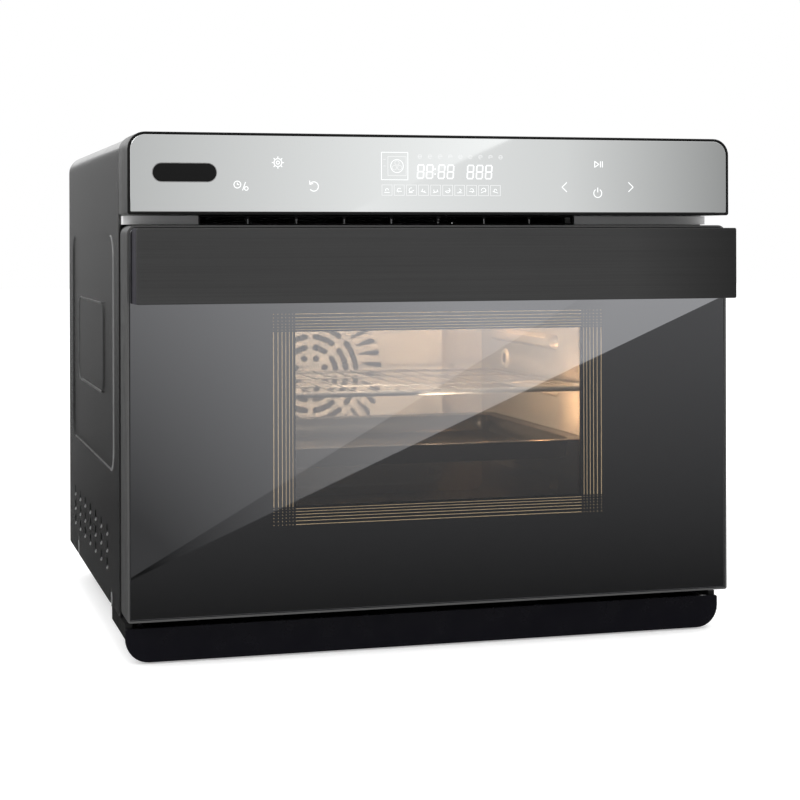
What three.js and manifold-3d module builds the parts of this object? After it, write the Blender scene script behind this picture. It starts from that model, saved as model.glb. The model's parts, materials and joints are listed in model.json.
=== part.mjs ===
// A countertop convection oven with a touch control head, a drop-down glass door, a full-width
// flat handle and a drip tray that slides out between the front feet.
//
// Millimetres. +X is right and +Y is to the back, as seen from the front, and +Z is up.
// The origin is under the middle of the oven, on the surface that it stands on.

import * as THREE from 'three';
import { mergeVertices } from 'three/addons/utils/BufferGeometryUtils.js';
import Module from 'manifold-3d';

const wasm = await Module();
wasm.setup();

// ---------------------------------------------------------------- driving dimensions

const WIDTH = 520;
const DEPTH = 490; // handle front to casing back
const HEIGHT = 428.5;
const GAP = 0.3; // clearance between pieces that touch

const HALF = WIDTH / 2;
const BACK = DEPTH / 2;

const CASING_DEPTH = 408;
const CASING_FRONT = BACK - CASING_DEPTH;
const CASING_BOTTOM = 32.5;
const CASING_TOP = 428;
const CASING_RADIUS = 16;
const CASING_SHEET = 1.5;
const INNER_HALF = HALF - CASING_SHEET - 0.6; // fits between the casing's side walls

const HEAD_FRONT = CASING_FRONT - 58;
const HEAD_BOTTOM = 362.5;
const HEAD_RADIUS = 14;

const DOOR_FRONT = CASING_FRONT - 52.5;
const DOOR_BACK = DOOR_FRONT + 42.5;
const DOOR_BOTTOM = 37.5;
const DOOR_TOP = 354;
const DOOR_WALL = 2.4;

const HANDLE_FRONT = -DEPTH / 2;
const HANDLE_BOTTOM = 291.5;
const HANDLE_TOP = 351.5;
const HANDLE_HALF = 256;
const HANDLE_PLATE = 6;

const TRAY_FRONT = CASING_FRONT - 34;
const TRAY_BOTTOM = 1.5;
const TRAY_TOP = 29;
const TRAY_BACK = CASING_FRONT + 58;

// The door hinge's axis
const PIVOT_Y = CASING_FRONT - 41;
const PIVOT_Z = 50;
const ARM_HALF_HEIGHT = 5;
const HINGE_X = 215;

// Front frame and cavity
const FRAME_FRONT = CASING_FRONT - 2;
const FRAME_SHEET = 2.5;
const CAVITY_HALF = 170;
const CAVITY_FLOOR = 75;
const CAVITY_CEILING = 335;
const CAVITY_FRONT = FRAME_FRONT + FRAME_SHEET + GAP;
const CAVITY_BACK = CASING_FRONT + 350;
const CAVITY_RADIUS = 12;
const LINER_SHEET = 1.2;

// Shelf rails: four levels, the wire rack on the third and the tray on the second
const RAIL_TOP = 251;
const RAIL_PITCH = 45;
const RAIL_COUNT = 4;
const RAIL_HEIGHT = 13;
const RAIL_REACH = 8;
const RAIL_FRONT = CASING_FRONT + 119;
const RAIL_BACK = CASING_FRONT + 301;

// Fan and its cover
const FAN_X = -25;
const FAN_Z = 205.5;
const COVER_HALF_WIDTH = 141;
const COVER_HALF_HEIGHT = 117;
const COVER_FRONT = CASING_FRONT + 322;
const COVER_SHEET = 1.2;
const SHAFT_RADIUS = 3;
const SHAFT_BORE = SHAFT_RADIUS + 0.4;

// Lamp and sensor on the right-hand wall
const LAMP_Y = 67;
const LAMP_Z = 298;
const SENSOR_Y = CASING_FRONT + 270;
const SENSOR_Z = 221;

// Space above the cavity
const DECK = 349; // top of the insulation
const BLOWER_Y = 77;
const BLOWER_Z = 378;
const BLOWER_RADIUS = 22;
const GRILLE_LEFT = -196;
const GRILLE_RIGHT = 134;

// Cord gland in the back panel
const GLAND_X = 200;
const GLAND_Z = 60;
const PANEL_BACK = BACK - 7.5;
const PANEL_SHEET = 1.5;

// ---------------------------------------------------------------- finishes

const FINISHES = {
  casing: { color: 0x4a4b4e, roughness: 0.45, metalness: 0.7 },
  trim: { color: 0x8b8d90, roughness: 0.4, metalness: 0.6 },
  black: { color: 0x151517, roughness: 0.5, metalness: 0.1 },
  darkGlass: { color: 0x2a2a2e, roughness: 0.05, metalness: 0.2 },
  mirror: { color: 0xc4c8c8, roughness: 0.06, metalness: 0.9 },
  handle: { color: 0x3c3d40, roughness: 0.35, metalness: 0.8 },
  steel: { color: 0x9a9ca0, roughness: 0.3, metalness: 0.9 },
  enamel: { color: 0x1e1f24, roughness: 0.25, metalness: 0.1 },
  rubber: { color: 0x101010, roughness: 0.9, metalness: 0 },
  glass: { color: 0xdfe6e6, roughness: 0.05, metalness: 0 },
  element: { color: 0x5b5552, roughness: 0.6, metalness: 0.6 },
  wool: { color: 0xd8d0b8, roughness: 1, metalness: 0 },
  board: { color: 0x1f5a38, roughness: 0.6, metalness: 0 },
  trayBlue: { color: 0x1b1b21, roughness: 0.3, metalness: 0.2 },
};

const oven = new THREE.Group();

function add(name, finish, geometry) {
  const mesh = new THREE.Mesh(geometry, new THREE.MeshStandardMaterial(FINISHES[finish]));
  mesh.name = name;
  oven.add(mesh);
  return mesh;
}

// ---------------------------------------------------------------- shape helpers

const QUARTER = Math.PI / 2;

// How a flat shape's two axes and its extrusion lie for each extrusion axis
const BASES = {
  x: [[0, 1, 0], [0, 0, 1], [1, 0, 0]],
  y: [[1, 0, 0], [0, 0, 1], [0, -1, 0]],
  z: [[1, 0, 0], [0, 1, 0], [0, 0, 1]],
};

function extrude(shape, axis, from, to, curveSegments = 3) {
  const geometry = new THREE.ExtrudeGeometry(shape, {
    depth: to - from,
    bevelEnabled: false,
    curveSegments,
  });
  const [u, v, w] = BASES[axis].map((vector) => new THREE.Vector3(...vector));
  geometry.applyMatrix4(new THREE.Matrix4().makeBasis(u, v, w));
  const start = axis === 'y' ? to : from;
  const offset = new THREE.Vector3();
  offset[axis] = start;
  return geometry.translate(offset.x, offset.y, offset.z);
}

function box(x0, x1, y0, y1, z0, z1) {
  const geometry = new THREE.BoxGeometry(x1 - x0, y1 - y0, z1 - z0);
  return geometry.translate((x0 + x1) / 2, (y0 + y1) / 2, (z0 + z1) / 2);
}

// A cylinder along an axis, from one value to another; the centre's two other coordinates
// are given in X, Y, Z order
function rod(axis, radius, from, to, [a, b], sides = 12) {
  const geometry = new THREE.CylinderGeometry(radius, radius, to - from, sides);
  const middle = (from + to) / 2;
  if (axis === 'x') {
    return geometry.rotateZ(QUARTER).translate(middle, a, b);
  }
  if (axis === 'y') {
    return geometry.translate(a, middle, b);
  }
  return geometry.rotateX(QUARTER).translate(a, b, middle);
}

function roundedRect(left, right, bottom, top, lower, upper = lower, path = new THREE.Shape()) {
  path.moveTo(left + lower, bottom);
  path.absarc(right - lower, bottom + lower, lower, -QUARTER, 0);
  path.absarc(right - upper, top - upper, upper, 0, QUARTER);
  path.absarc(left + upper, top - upper, upper, QUARTER, 2 * QUARTER);
  path.absarc(left + lower, bottom + lower, lower, 2 * QUARTER, 3 * QUARTER);
  path.closePath();
  return path;
}

// A flat ring between two rounded rectangles
function roundedRing(outer, inner) {
  const shape = roundedRect(...outer);
  shape.holes.push(roundedRect(...inner, inner[4], new THREE.Path()));
  return shape;
}

function polygon(points) {
  return new THREE.Shape(points.map(([u, v]) => new THREE.Vector2(u, v)));
}

// A sheet bent into an upside-down U, open at the bottom
function archSheet(half, bottom, top, radius, sheet) {
  const shape = new THREE.Shape();
  const centre = half - radius;
  const height = top - radius;
  shape.moveTo(-half, bottom);
  shape.absarc(-centre, height, radius, 2 * QUARTER, QUARTER, true);
  shape.absarc(centre, height, radius, QUARTER, 0, true);
  shape.lineTo(half, bottom);
  shape.lineTo(half - sheet, bottom);
  shape.absarc(centre, height, radius - sheet, 0, QUARTER, false);
  shape.absarc(-centre, height, radius - sheet, QUARTER, 2 * QUARTER, false);
  shape.lineTo(-half + sheet, bottom);
  shape.closePath();
  return shape;
}

function lathe(points, segments = 16) {
  const profile = points.map(([radius, height]) => new THREE.Vector2(radius, height));
  return new THREE.LatheGeometry(profile, segments);
}

// A tube that follows straight runs with rounded corners
function bentTube(points, radius, corner, steps, sides = 6) {
  const path = new THREE.CurvePath();
  const vectors = points.map((point) => new THREE.Vector3(...point));
  let start = vectors[0];
  for (let i = 1; i < vectors.length - 1; i += 1) {
    const bend = vectors[i];
    const before = bend.clone().sub(vectors[i - 1]).setLength(corner);
    const after = vectors[i + 1].clone().sub(bend).setLength(corner);
    const enter = bend.clone().sub(before);
    const leave = bend.clone().add(after);
    path.add(new THREE.LineCurve3(start, enter));
    path.add(new THREE.QuadraticBezierCurve3(enter, bend, leave));
    start = leave;
  }
  path.add(new THREE.LineCurve3(start, vectors[vectors.length - 1]));
  const section = new THREE.Shape().absarc(0, 0, radius, 0, 4 * QUARTER);
  return new THREE.ExtrudeGeometry(section, {
    steps,
    curveSegments: sides / 2,
    extrudePath: path,
  });
}

function toSolid(geometry) {
  const bare = geometry.clone();
  bare.deleteAttribute('normal');
  bare.deleteAttribute('uv');
  const merged = mergeVertices(bare);
  return new wasm.Manifold(new wasm.Mesh({
    numProp: 3,
    vertProperties: merged.attributes.position.array,
    triVerts: Uint32Array.from(merged.index.array),
  }));
}

function toGeometry(solid) {
  const mesh = solid.getMesh();
  const geometry = new THREE.BufferGeometry();
  geometry.setAttribute('position', new THREE.BufferAttribute(mesh.vertProperties, 3));
  geometry.setIndex(new THREE.BufferAttribute(mesh.triVerts, 1));
  geometry.computeVertexNormals();
  return geometry;
}

function join(first, ...others) {
  return toGeometry(others.reduce((sum, other) => sum.add(toSolid(other)), toSolid(first)));
}

function cut(base, ...tools) {
  return toGeometry(tools.reduce((rest, tool) => rest.subtract(toSolid(tool)), toSolid(base)));
}

// ---------------------------------------------------------------- casing and base

function outerCasing() {
  const shell = extrude(
    archSheet(HALF, CASING_BOTTOM, CASING_TOP, CASING_RADIUS, CASING_SHEET),
    'y', CASING_FRONT, BACK, 4,
  );
  // A pressed-in panel on each side: the sheet steps inward between two rounded outlines
  const pressDepth = 1.2;
  const pressedRing = (grow) => roundedRing(
    [CASING_FRONT + 36 - grow, BACK - 36 + grow, 147 - grow, 346 + grow, 20 + grow],
    [CASING_FRONT + 112 + grow, BACK - 96 - grow, 208 + grow, 287 - grow, 12 - grow],
  );
  const inside = HALF - CASING_SHEET;
  const pressed = cut(
    join(
      shell,
      extrude(pressedRing(CASING_SHEET), 'x', inside - pressDepth, inside + 0.5),
      extrude(pressedRing(CASING_SHEET), 'x', -inside - 0.5, pressDepth - inside),
    ),
    extrude(pressedRing(0), 'x', HALF - pressDepth, HALF + 1),
    extrude(pressedRing(0), 'x', -HALF - 1, pressDepth - HALF),
  );
  const rows = [92, 77.5, 63];
  const columns = 7;
  const holes = [];
  for (const z of rows) {
    for (let i = 0; i < columns; i += 1) {
      const y = CASING_FRONT + 85 + 44.3 * i;
      holes.push(rod('x', 4, -HALF - 5, HALF + 5, [y, z], 8));
    }
  }
  return cut(pressed, ...holes);
}

function foot() {
  return lathe([[0, 0], [13, 0], [15, 2], [17, 30], [17, 32.2], [0, 32.2]]).rotateX(QUARTER);
}

function casingAndBase() {
  add('outer_casing', 'casing', outerCasing());
  const inFrontOfPanel = PANEL_BACK - PANEL_SHEET - GAP;
  add('base_plate', 'steel', box(
    -INNER_HALF, INNER_HALF, FRAME_FRONT + 6, inFrontOfPanel, CASING_BOTTOM, CASING_BOTTOM + 1.5,
  ));
  const footSpots = {
    foot_front_left: [-215, -70],
    foot_front_right: [215, -70],
    foot_rear_left: [-215, 205],
    foot_rear_right: [215, 205],
  };
  for (const [name, [x, y]] of Object.entries(footSpots)) {
    add(name, 'rubber', foot()).position.set(x, y, 0);
  }
  backPanel();
  frontFrame();
}

function backPanel() {
  const sheet = extrude(
    roundedRect(-INNER_HALF, INNER_HALF, CASING_BOTTOM + 2.5, CASING_TOP - 2.3, 2, 14),
    'y', PANEL_BACK - PANEL_SHEET, PANEL_BACK,
  );
  const cuts = [rod('y', 9, PANEL_BACK - 5, PANEL_BACK + 5, [GLAND_X, GLAND_Z], 16)];
  const louvres = 8;
  for (const side of [-1, 1]) {
    for (let i = 0; i < louvres; i += 1) {
      const x = side * 110;
      const z = 300 + 12 * i;
      cuts.push(box(x - 60, x + 60, PANEL_BACK - 5, PANEL_BACK + 5, z, z + 4));
    }
  }
  add('back_panel', 'steel', cut(sheet, ...cuts));
  const inner = PANEL_BACK - PANEL_SHEET - GAP;
  const outer = PANEL_BACK + GAP;
  const gland = lathe([
    [4, inner - 9], [13, inner - 9], [13, inner], [8.6, inner], [8.6, outer], [13, outer],
    [10, BACK - 0.5], [4, BACK - 0.5], [4, inner - 9],
  ]);
  add('cord_gland', 'rubber', gland).position.set(GLAND_X, 0, GLAND_Z);
}

function frontFrame() {
  const sheet = extrude(
    roundedRing(
      [-INNER_HALF, INNER_HALF, CASING_BOTTOM + 2, DOOR_TOP - 1, 3],
      [3 - CAVITY_HALF, CAVITY_HALF - 3, CAVITY_FLOOR + 3, CAVITY_CEILING - 3, 10],
    ),
    'y', FRAME_FRONT, FRAME_FRONT + FRAME_SHEET,
  );
  const slots = [-1, 1].map((side) => box(
    side * HINGE_X - 4, side * HINGE_X + 4, FRAME_FRONT - 5, FRAME_FRONT + 5,
    PIVOT_Z - 10, PIVOT_Z + 10,
  ));
  add('front_frame', 'steel', cut(sheet, ...slots));

  // The strip between door and control head: two grey blocks with a slotted grille between them
  const bottom = DOOR_TOP + 1;
  const top = HEAD_BOTTOM - GAP;
  const face = CASING_FRONT - 14;
  const rear = CASING_FRONT + 10;
  add('filler_left', 'trim', box(-INNER_HALF, GRILLE_LEFT - GAP, face, rear, bottom, top));
  add('filler_right', 'trim', box(GRILLE_RIGHT + GAP, INNER_HALF, face, rear, bottom, top));
  const slotCount = 8;
  const pitch = (GRILLE_RIGHT - GRILLE_LEFT) / slotCount;
  const grille = box(GRILLE_LEFT, GRILLE_RIGHT, face + 1, face + 5, bottom, top);
  const openings = [];
  for (let i = 0; i < slotCount; i += 1) {
    const x = GRILLE_LEFT + pitch * i;
    openings.push(box(x + 1.5, x + pitch - 1.5, face - 5, face + 9, bottom + 1, top - 1));
  }
  add('vent_grille', 'black', cut(grille, ...openings));
}

// ---------------------------------------------------------------- control head

function controlHead() {
  const glassBack = HEAD_FRONT + 3;
  const rim = 1.8;
  const outline = extrude(
    roundedRect(-HALF, HALF, HEAD_BOTTOM, HEIGHT, 2, HEAD_RADIUS),
    'y', HEAD_FRONT, CASING_FRONT - GAP, 4,
  );
  const glassSeat = extrude(
    roundedRect(rim - HALF, HALF - rim, HEAD_BOTTOM + rim, HEIGHT - rim, 1, HEAD_RADIUS - rim),
    'y', HEAD_FRONT - 5, glassBack + GAP, 4,
  );
  const hollow = extrude(
    roundedRect(3 - HALF, HALF - 3, HEAD_BOTTOM + 2.5, HEIGHT - 2.5, 1, HEAD_RADIUS - 3),
    'y', glassBack + 2.5, CASING_FRONT + 5, 4,
  );
  const displayWindow = box(-70, 70, glassBack - 1, glassBack + 5, 372, 424);
  add('control_housing', 'trim', cut(outline, glassSeat, hollow, displayWindow));

  const margin = rim + GAP;
  add('control_glass', 'mirror', extrude(
    roundedRect(
      margin - HALF, HALF - margin, HEAD_BOTTOM + margin, HEIGHT - margin, 0.8, HEAD_RADIUS - margin,
    ),
    'y', HEAD_FRONT, glassBack, 4,
  ));
  add('badge', 'black', extrude(
    roundedRect(-240, -189, 389, 403.4, 7.2), 'y', HEAD_FRONT - 0.9, HEAD_FRONT - GAP, 4,
  ));
  add('display_module', 'black', box(-62, 62, glassBack + GAP, glassBack + 9, 374, 422));

  const boardFront = glassBack + 15;
  add('control_board', 'board', join(
    box(-150, 150, boardFront, boardFront + 1.6, 370, 420),
    box(-110, -80, boardFront + 1, boardFront + 13, 378, 398),
    box(20, 60, boardFront + 1, boardFront + 9, 390, 410),
    box(100, 130, boardFront + 1, boardFront + 16, 376, 400),
  ));
}

// ---------------------------------------------------------------- cavity

function cavityLiner() {
  const wall = CAVITY_HALF + LINER_SHEET;
  const outside = extrude(
    roundedRect(
      -wall, wall, CAVITY_FLOOR - LINER_SHEET, CAVITY_CEILING + LINER_SHEET, CAVITY_RADIUS + LINER_SHEET,
    ),
    'y', CAVITY_FRONT, CAVITY_BACK + LINER_SHEET,
  );
  const flange = extrude(
    roundedRect(-180, 180, CAVITY_FLOOR - 9, CAVITY_CEILING + 9, 14),
    'y', CAVITY_FRONT, CAVITY_FRONT + LINER_SHEET,
  );
  const inside = extrude(
    roundedRect(-CAVITY_HALF, CAVITY_HALF, CAVITY_FLOOR, CAVITY_CEILING, CAVITY_RADIUS),
    'y', CAVITY_FRONT - 5, CAVITY_BACK,
  );
  const backHole = (radius, x, z) => rod(
    'y', radius, CAVITY_BACK - 3, CAVITY_BACK + 5, [x, z], 10,
  );
  const sideHole = (radius, y, z) => rod(
    'x', radius, CAVITY_HALF - 3, CAVITY_HALF + 5, [y, z], 16,
  );
  const hollow = cut(
    join(outside, flange),
    inside,
    backHole(6, FAN_X, FAN_Z),
    backHole(4, FAN_X - 10, FAN_Z - 82),
    backHole(4, FAN_X + 10, FAN_Z - 82),
    backHole(4, 130, 326),
    backHole(4, 156, 326),
    sideHole(22, LAMP_Y, LAMP_Z),
    sideHole(7.5, SENSOR_Y, SENSOR_Z),
  );
  const rails = [];
  for (const side of [-1, 1]) {
    for (let level = 0; level < RAIL_COUNT; level += 1) {
      const top = RAIL_TOP - RAIL_PITCH * level;
      const root = side * (CAVITY_HALF + 0.6);
      const nose = side * (CAVITY_HALF - RAIL_REACH);
      const section = polygon([
        [root, top - RAIL_HEIGHT], [nose, top - RAIL_HEIGHT + 4], [nose, top - 1], [root, top],
      ]);
      rails.push(extrude(section, 'y', RAIL_FRONT, RAIL_BACK));
    }
  }
  return join(hollow, ...rails);
}

function insulationBlanket() {
  const inner = CAVITY_HALF + LINER_SHEET + 0.8;
  const wrap = extrude(
    archSheet(inner + 12, CAVITY_FLOOR - 5, DECK, 15, DECK - CAVITY_CEILING - LINER_SHEET - 0.8),
    'y', CAVITY_FRONT + 8, CAVITY_BACK - 2,
  );
  return cut(
    wrap,
    rod('x', 27, inner - 4, inner + 20, [LAMP_Y, LAMP_Z], 16),
    rod('x', 12, inner - 4, inner + 20, [SENSOR_Y, SENSOR_Z]),
  );
}

// A curved slot, part of a ring around the fan's axis
function arcSlot(radius, width, middle, sweep) {
  const start = middle - sweep / 2;
  const end = middle + sweep / 2;
  const path = new THREE.Path();
  path.absarc(FAN_X, FAN_Z, radius + width / 2, start, end, false);
  path.absarc(FAN_X, FAN_Z, radius - width / 2, end, start, true);
  path.closePath();
  return path;
}

// A slot that points away from the fan's axis, wider and round at its outer end
function radialSlot(angle) {
  const inner = 58;
  const outer = 74;
  const at = (radius, side) => {
    const x = FAN_X + radius * Math.cos(angle) - side * Math.sin(angle);
    const z = FAN_Z + radius * Math.sin(angle) + side * Math.cos(angle);
    return new THREE.Vector2(x, z);
  };
  return new THREE.Path([
    at(inner, -1), at(outer - 2, -2.2), at(outer, -1), at(outer, 1), at(outer - 2, 2.2), at(inner, 1),
  ]);
}

function fanCover() {
  const left = FAN_X - COVER_HALF_WIDTH;
  const right = FAN_X + COVER_HALF_WIDTH;
  const bottom = FAN_Z - COVER_HALF_HEIGHT;
  const top = FAN_Z + COVER_HALF_HEIGHT;
  const face = roundedRect(left, right, bottom, top, 14);
  const ringHoles = 8;
  for (let i = 0; i < ringHoles; i += 1) {
    const middle = QUARTER / 4 + (i * QUARTER) / 2;
    const hole = new THREE.Path();
    hole.absarc(FAN_X + 16.5 * Math.cos(middle), FAN_Z + 16.5 * Math.sin(middle), 3, 0, 4 * QUARTER);
    face.holes.push(hole);
    for (const radius of [27, 38, 48.5]) {
      face.holes.push(arcSlot(radius, 5, middle, QUARTER / 2 - 7 / radius));
    }
  }
  const radialSlots = 34;
  for (let i = 0; i < radialSlots; i += 1) {
    face.holes.push(radialSlot((i * 4 * QUARTER) / radialSlots));
  }
  const plate = extrude(face, 'y', COVER_FRONT, COVER_FRONT + COVER_SHEET, 2);
  const skirt = extrude(
    roundedRing(
      [left, right, bottom, top, 14],
      [left + COVER_SHEET, right - COVER_SHEET, bottom + COVER_SHEET, top - COVER_SHEET, 13],
    ),
    'y', COVER_FRONT + COVER_SHEET / 2, CAVITY_BACK - GAP,
  );
  return join(plate, skirt);
}

function convectionFan() {
  const blades = 10;
  const discBack = CASING_FRONT + 343;
  const pieces = [];
  for (let i = 0; i < blades; i += 1) {
    const blade = new THREE.BoxGeometry(50, 14, 1.4);
    blade.translate(34, discBack - 7.6, 0).rotateY((i * 4 * QUARTER) / blades);
    pieces.push(blade.translate(FAN_X, 0, FAN_Z));
  }
  const wheel = join(
    rod('y', 60, discBack - 1.4, discBack, [FAN_X, FAN_Z], 32),
    rod('y', 11, discBack - 15, discBack, [FAN_X, FAN_Z], 16),
    ...pieces,
  );
  return cut(wheel, rod('y', SHAFT_BORE, discBack - 20, discBack + 5, [FAN_X, FAN_Z]));
}

function fanMotor() {
  const front = CAVITY_BACK + LINER_SHEET + GAP;
  const motor = join(
    rod('y', 28, front, front + 34, [FAN_X, FAN_Z], 24),
    box(FAN_X - 42, FAN_X + 42, front, front + 2.5, FAN_Z - 14, FAN_Z + 14),
  );
  return cut(motor, rod('y', SHAFT_BORE, front - 5, front + 20, [FAN_X, FAN_Z]));
}

function ringHeater() {
  const tube = 3.2;
  const reach = 82;
  const middle = CASING_FRONT + 336;
  const ring = new THREE.TorusGeometry(reach, tube, 8, 40).rotateX(QUARTER);
  ring.translate(FAN_X, middle, FAN_Z);
  const leads = [-10, 10].map((shift) => rod(
    'y', tube - 0.2, middle, CAVITY_BACK + 10, [FAN_X + shift, FAN_Z - reach + 0.6], 8,
  ));
  return join(ring, ...leads);
}

function topHeater() {
  const z = 326;
  const far = CAVITY_BACK + 10;
  const route = [
    [156, far], [156, -135], [-150, -135], [-150, 130], [-90, 130], [-90, -85], [-30, -85],
    [-30, 130], [30, 130], [30, -85], [90, -85], [90, 120], [130, 120], [130, far],
  ];
  return bentTube(route.map(([x, y]) => [x, y, z]), 3.2, 14, 75);
}

function bottomHeater() {
  const z = CAVITY_FLOOR - 8;
  const route = [
    [-120, 150], [-120, -110], [-60, -110], [-60, 110], [0, 110], [0, -110], [60, -110],
    [60, 110], [120, 110], [120, 150],
  ];
  return bentTube(route.map(([x, y]) => [x, y, z]), 3.2, 14, 52);
}

function wireRack() {
  const sideX = 165;
  const frontY = CASING_FRONT + 25;
  const backY = CASING_FRONT + 292;
  const frameWire = 2.5;
  const crossWire = 1.5;
  const z = RAIL_TOP - RAIL_PITCH + GAP + frameWire;
  const wires = [];
  for (const x of [-sideX, sideX]) {
    wires.push(rod('y', frameWire, frontY - 2, backY + 2, [x, z], 8));
  }
  for (const y of [frontY, (frontY + backY) / 2, backY]) {
    wires.push(rod('x', frameWire - 0.3, -sideX, sideX, [y, z], 8));
  }
  const count = 16;
  const pitch = (2 * sideX) / (count + 1);
  for (let i = 1; i <= count; i += 1) {
    wires.push(rod('y', crossWire, frontY, backY, [pitch * i - sideX, z + 1.2], 6));
  }
  return join(...wires);
}

function bakingTray() {
  const rimZ = RAIL_TOP - 2 * RAIL_PITCH + GAP;
  const frontY = CASING_FRONT + 25;
  const backY = CASING_FRONT + 300;
  const outer = (inset) => roundedRect(inset - 153, 153 - inset, frontY + 6 + inset, backY - 6 - inset, 12);
  const pan = join(
    extrude(outer(0), 'z', 144, rimZ + 1),
    extrude(roundedRect(-166, 166, frontY, backY, 14), 'z', rimZ, rimZ + 1.6),
  );
  return cut(pan, extrude(outer(1.5), 'z', 145.5, rimZ + 5));
}

function lamp() {
  const wall = CAVITY_HALF;
  add('lamp_socket', 'wool', rod('x', 18, wall + 2, wall + 34, [LAMP_Y, LAMP_Z], 16));
  const bulb = lathe([[0, -15], [6, -13], [9, -7], [9, -1], [6, 1.6], [0, 1.6]]);
  add('lamp_bulb', 'glass', bulb.rotateZ(-QUARTER)).position.set(wall, LAMP_Y, LAMP_Z);
  const dome = lathe([
    [21, -GAP], [21, -3], [20, -15], [11, -19], [0, -20], [0, -22], [12, -21], [22, -16],
    [26, -3], [26, -GAP], [21, -GAP],
  ], 20);
  add('lamp_cover', 'glass', dome.rotateZ(-QUARTER)).position.set(wall, LAMP_Y, LAMP_Z);
}

function cavitySensor() {
  const port = lathe([
    [3, -4], [7, -4], [10, -2.5], [10, -GAP], [7, -GAP], [7, 14], [3, 14], [3, -4],
  ]);
  add('cavity_sensor', 'wool', port.rotateZ(-QUARTER)).position.set(CAVITY_HALF, SENSOR_Y, SENSOR_Z);
}

function cavity() {
  add('cavity_liner', 'steel', cavityLiner());
  add('insulation_blanket', 'wool', insulationBlanket());
  add('fan_cover', 'enamel', fanCover());
  add('convection_fan', 'steel', convectionFan());
  add('fan_shaft', 'steel', rod(
    'y', SHAFT_RADIUS, CASING_FRONT + 330, CAVITY_BACK + 18, [FAN_X, FAN_Z],
  ));
  add('fan_motor', 'black', fanMotor());
  add('ring_heater', 'element', ringHeater());
  add('top_heater', 'element', topHeater());
  add('bottom_heater', 'element', bottomHeater());
  add('wire_rack', 'steel', wireRack());
  add('baking_tray', 'enamel', bakingTray());
  lamp();
  cavitySensor();
  add('door_seal', 'rubber', extrude(
    roundedRing(
      [-178, 178, CAVITY_FLOOR - 8, CAVITY_CEILING + 8, 16],
      [1 - CAVITY_HALF, CAVITY_HALF - 1, CAVITY_FLOOR + 1, CAVITY_CEILING - 1, 10],
    ),
    'y', DOOR_BACK + GAP, FRAME_FRONT - GAP,
  ));
}

// ---------------------------------------------------------------- cooling and power

function coolingFan() {
  const teeth = 14;
  const outline = [];
  for (let i = 0; i < teeth; i += 1) {
    const angle = (i * 4 * QUARTER) / teeth;
    const step = (4 * QUARTER) / teeth;
    for (const [radius, shift] of [[14, 0], [BLOWER_RADIUS, 0.15], [BLOWER_RADIUS, 0.3], [14, 0.55]]) {
      const at = angle + shift * step;
      outline.push([BLOWER_Y + radius * Math.cos(at), BLOWER_Z + radius * Math.sin(at)]);
    }
  }
  return join(
    extrude(polygon(outline), 'x', -150, 96),
    rod('x', BLOWER_RADIUS, -152, -149, [BLOWER_Y, BLOWER_Z], 24),
    rod('x', BLOWER_RADIUS, 95, 98, [BLOWER_Y, BLOWER_Z], 24),
    rod('x', SHAFT_RADIUS, 96, 118, [BLOWER_Y, BLOWER_Z]),
  );
}

function coolingAndPower() {
  const duct = roundedRing(
    [GRILLE_LEFT, GRILLE_RIGHT, DECK + GAP, DECK + 19, 2],
    [GRILLE_LEFT + 1.2, GRILLE_RIGHT - 1.2, DECK + 1.5, DECK + 17.8, 1],
  );
  add('cooling_duct', 'steel', extrude(duct, 'y', CASING_FRONT + 12, BLOWER_Y - BLOWER_RADIUS - 6));
  add('cooling_fan', 'steel', coolingFan());
  const motor = rod('x', 20, 104, 140, [BLOWER_Y, BLOWER_Z], 20);
  add('cooling_motor', 'black', cut(motor, rod('x', SHAFT_BORE, 100, 122, [BLOWER_Y, BLOWER_Z])));
  const shroudBack = BLOWER_Y + BLOWER_RADIUS + 4;
  const shroudTop = BLOWER_Z + BLOWER_RADIUS + 4;
  const shroud = polygon([
    [BLOWER_Y - BLOWER_RADIUS - 4, shroudTop], [shroudBack, shroudTop], [shroudBack, DECK + GAP],
    [shroudBack + 1.2, DECK + GAP], [shroudBack + 1.2, shroudTop + 1.2],
    [BLOWER_Y - BLOWER_RADIUS - 4, shroudTop + 1.2],
  ]);
  add('blower_shroud', 'steel', extrude(shroud, 'x', -156, 102));

  add('thermal_cutout', 'black', rod('z', 12, DECK + GAP, DECK + 10, [-60, 150], 16));
  add('door_switch', 'black', join(
    box(228, 246, FRAME_FRONT + FRAME_SHEET + GAP, FRAME_FRONT + 18, 315, 345),
    box(232, 242, FRAME_FRONT + 16, FRAME_FRONT + 26, 320, 325),
  ));

  const boardX = 238;
  const standoffs = [[-70, 130], [-70, 290], [110, 130], [110, 290]].map((spot) => rod(
    'x', 3, boardX + 1, HALF - CASING_SHEET - 1.8, spot, 8,
  ));
  add('power_board', 'board', join(
    box(boardX, boardX + 1.6, -80, 120, 120, 300),
    box(boardX - 22, boardX + 1, -60, -15, 200, 240),
    box(boardX - 16, boardX + 1, 20, 60, 140, 170),
    box(boardX - 26, boardX + 1, 60, 90, 230, 270),
    ...standoffs,
  ));
}

// ---------------------------------------------------------------- door

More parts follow.
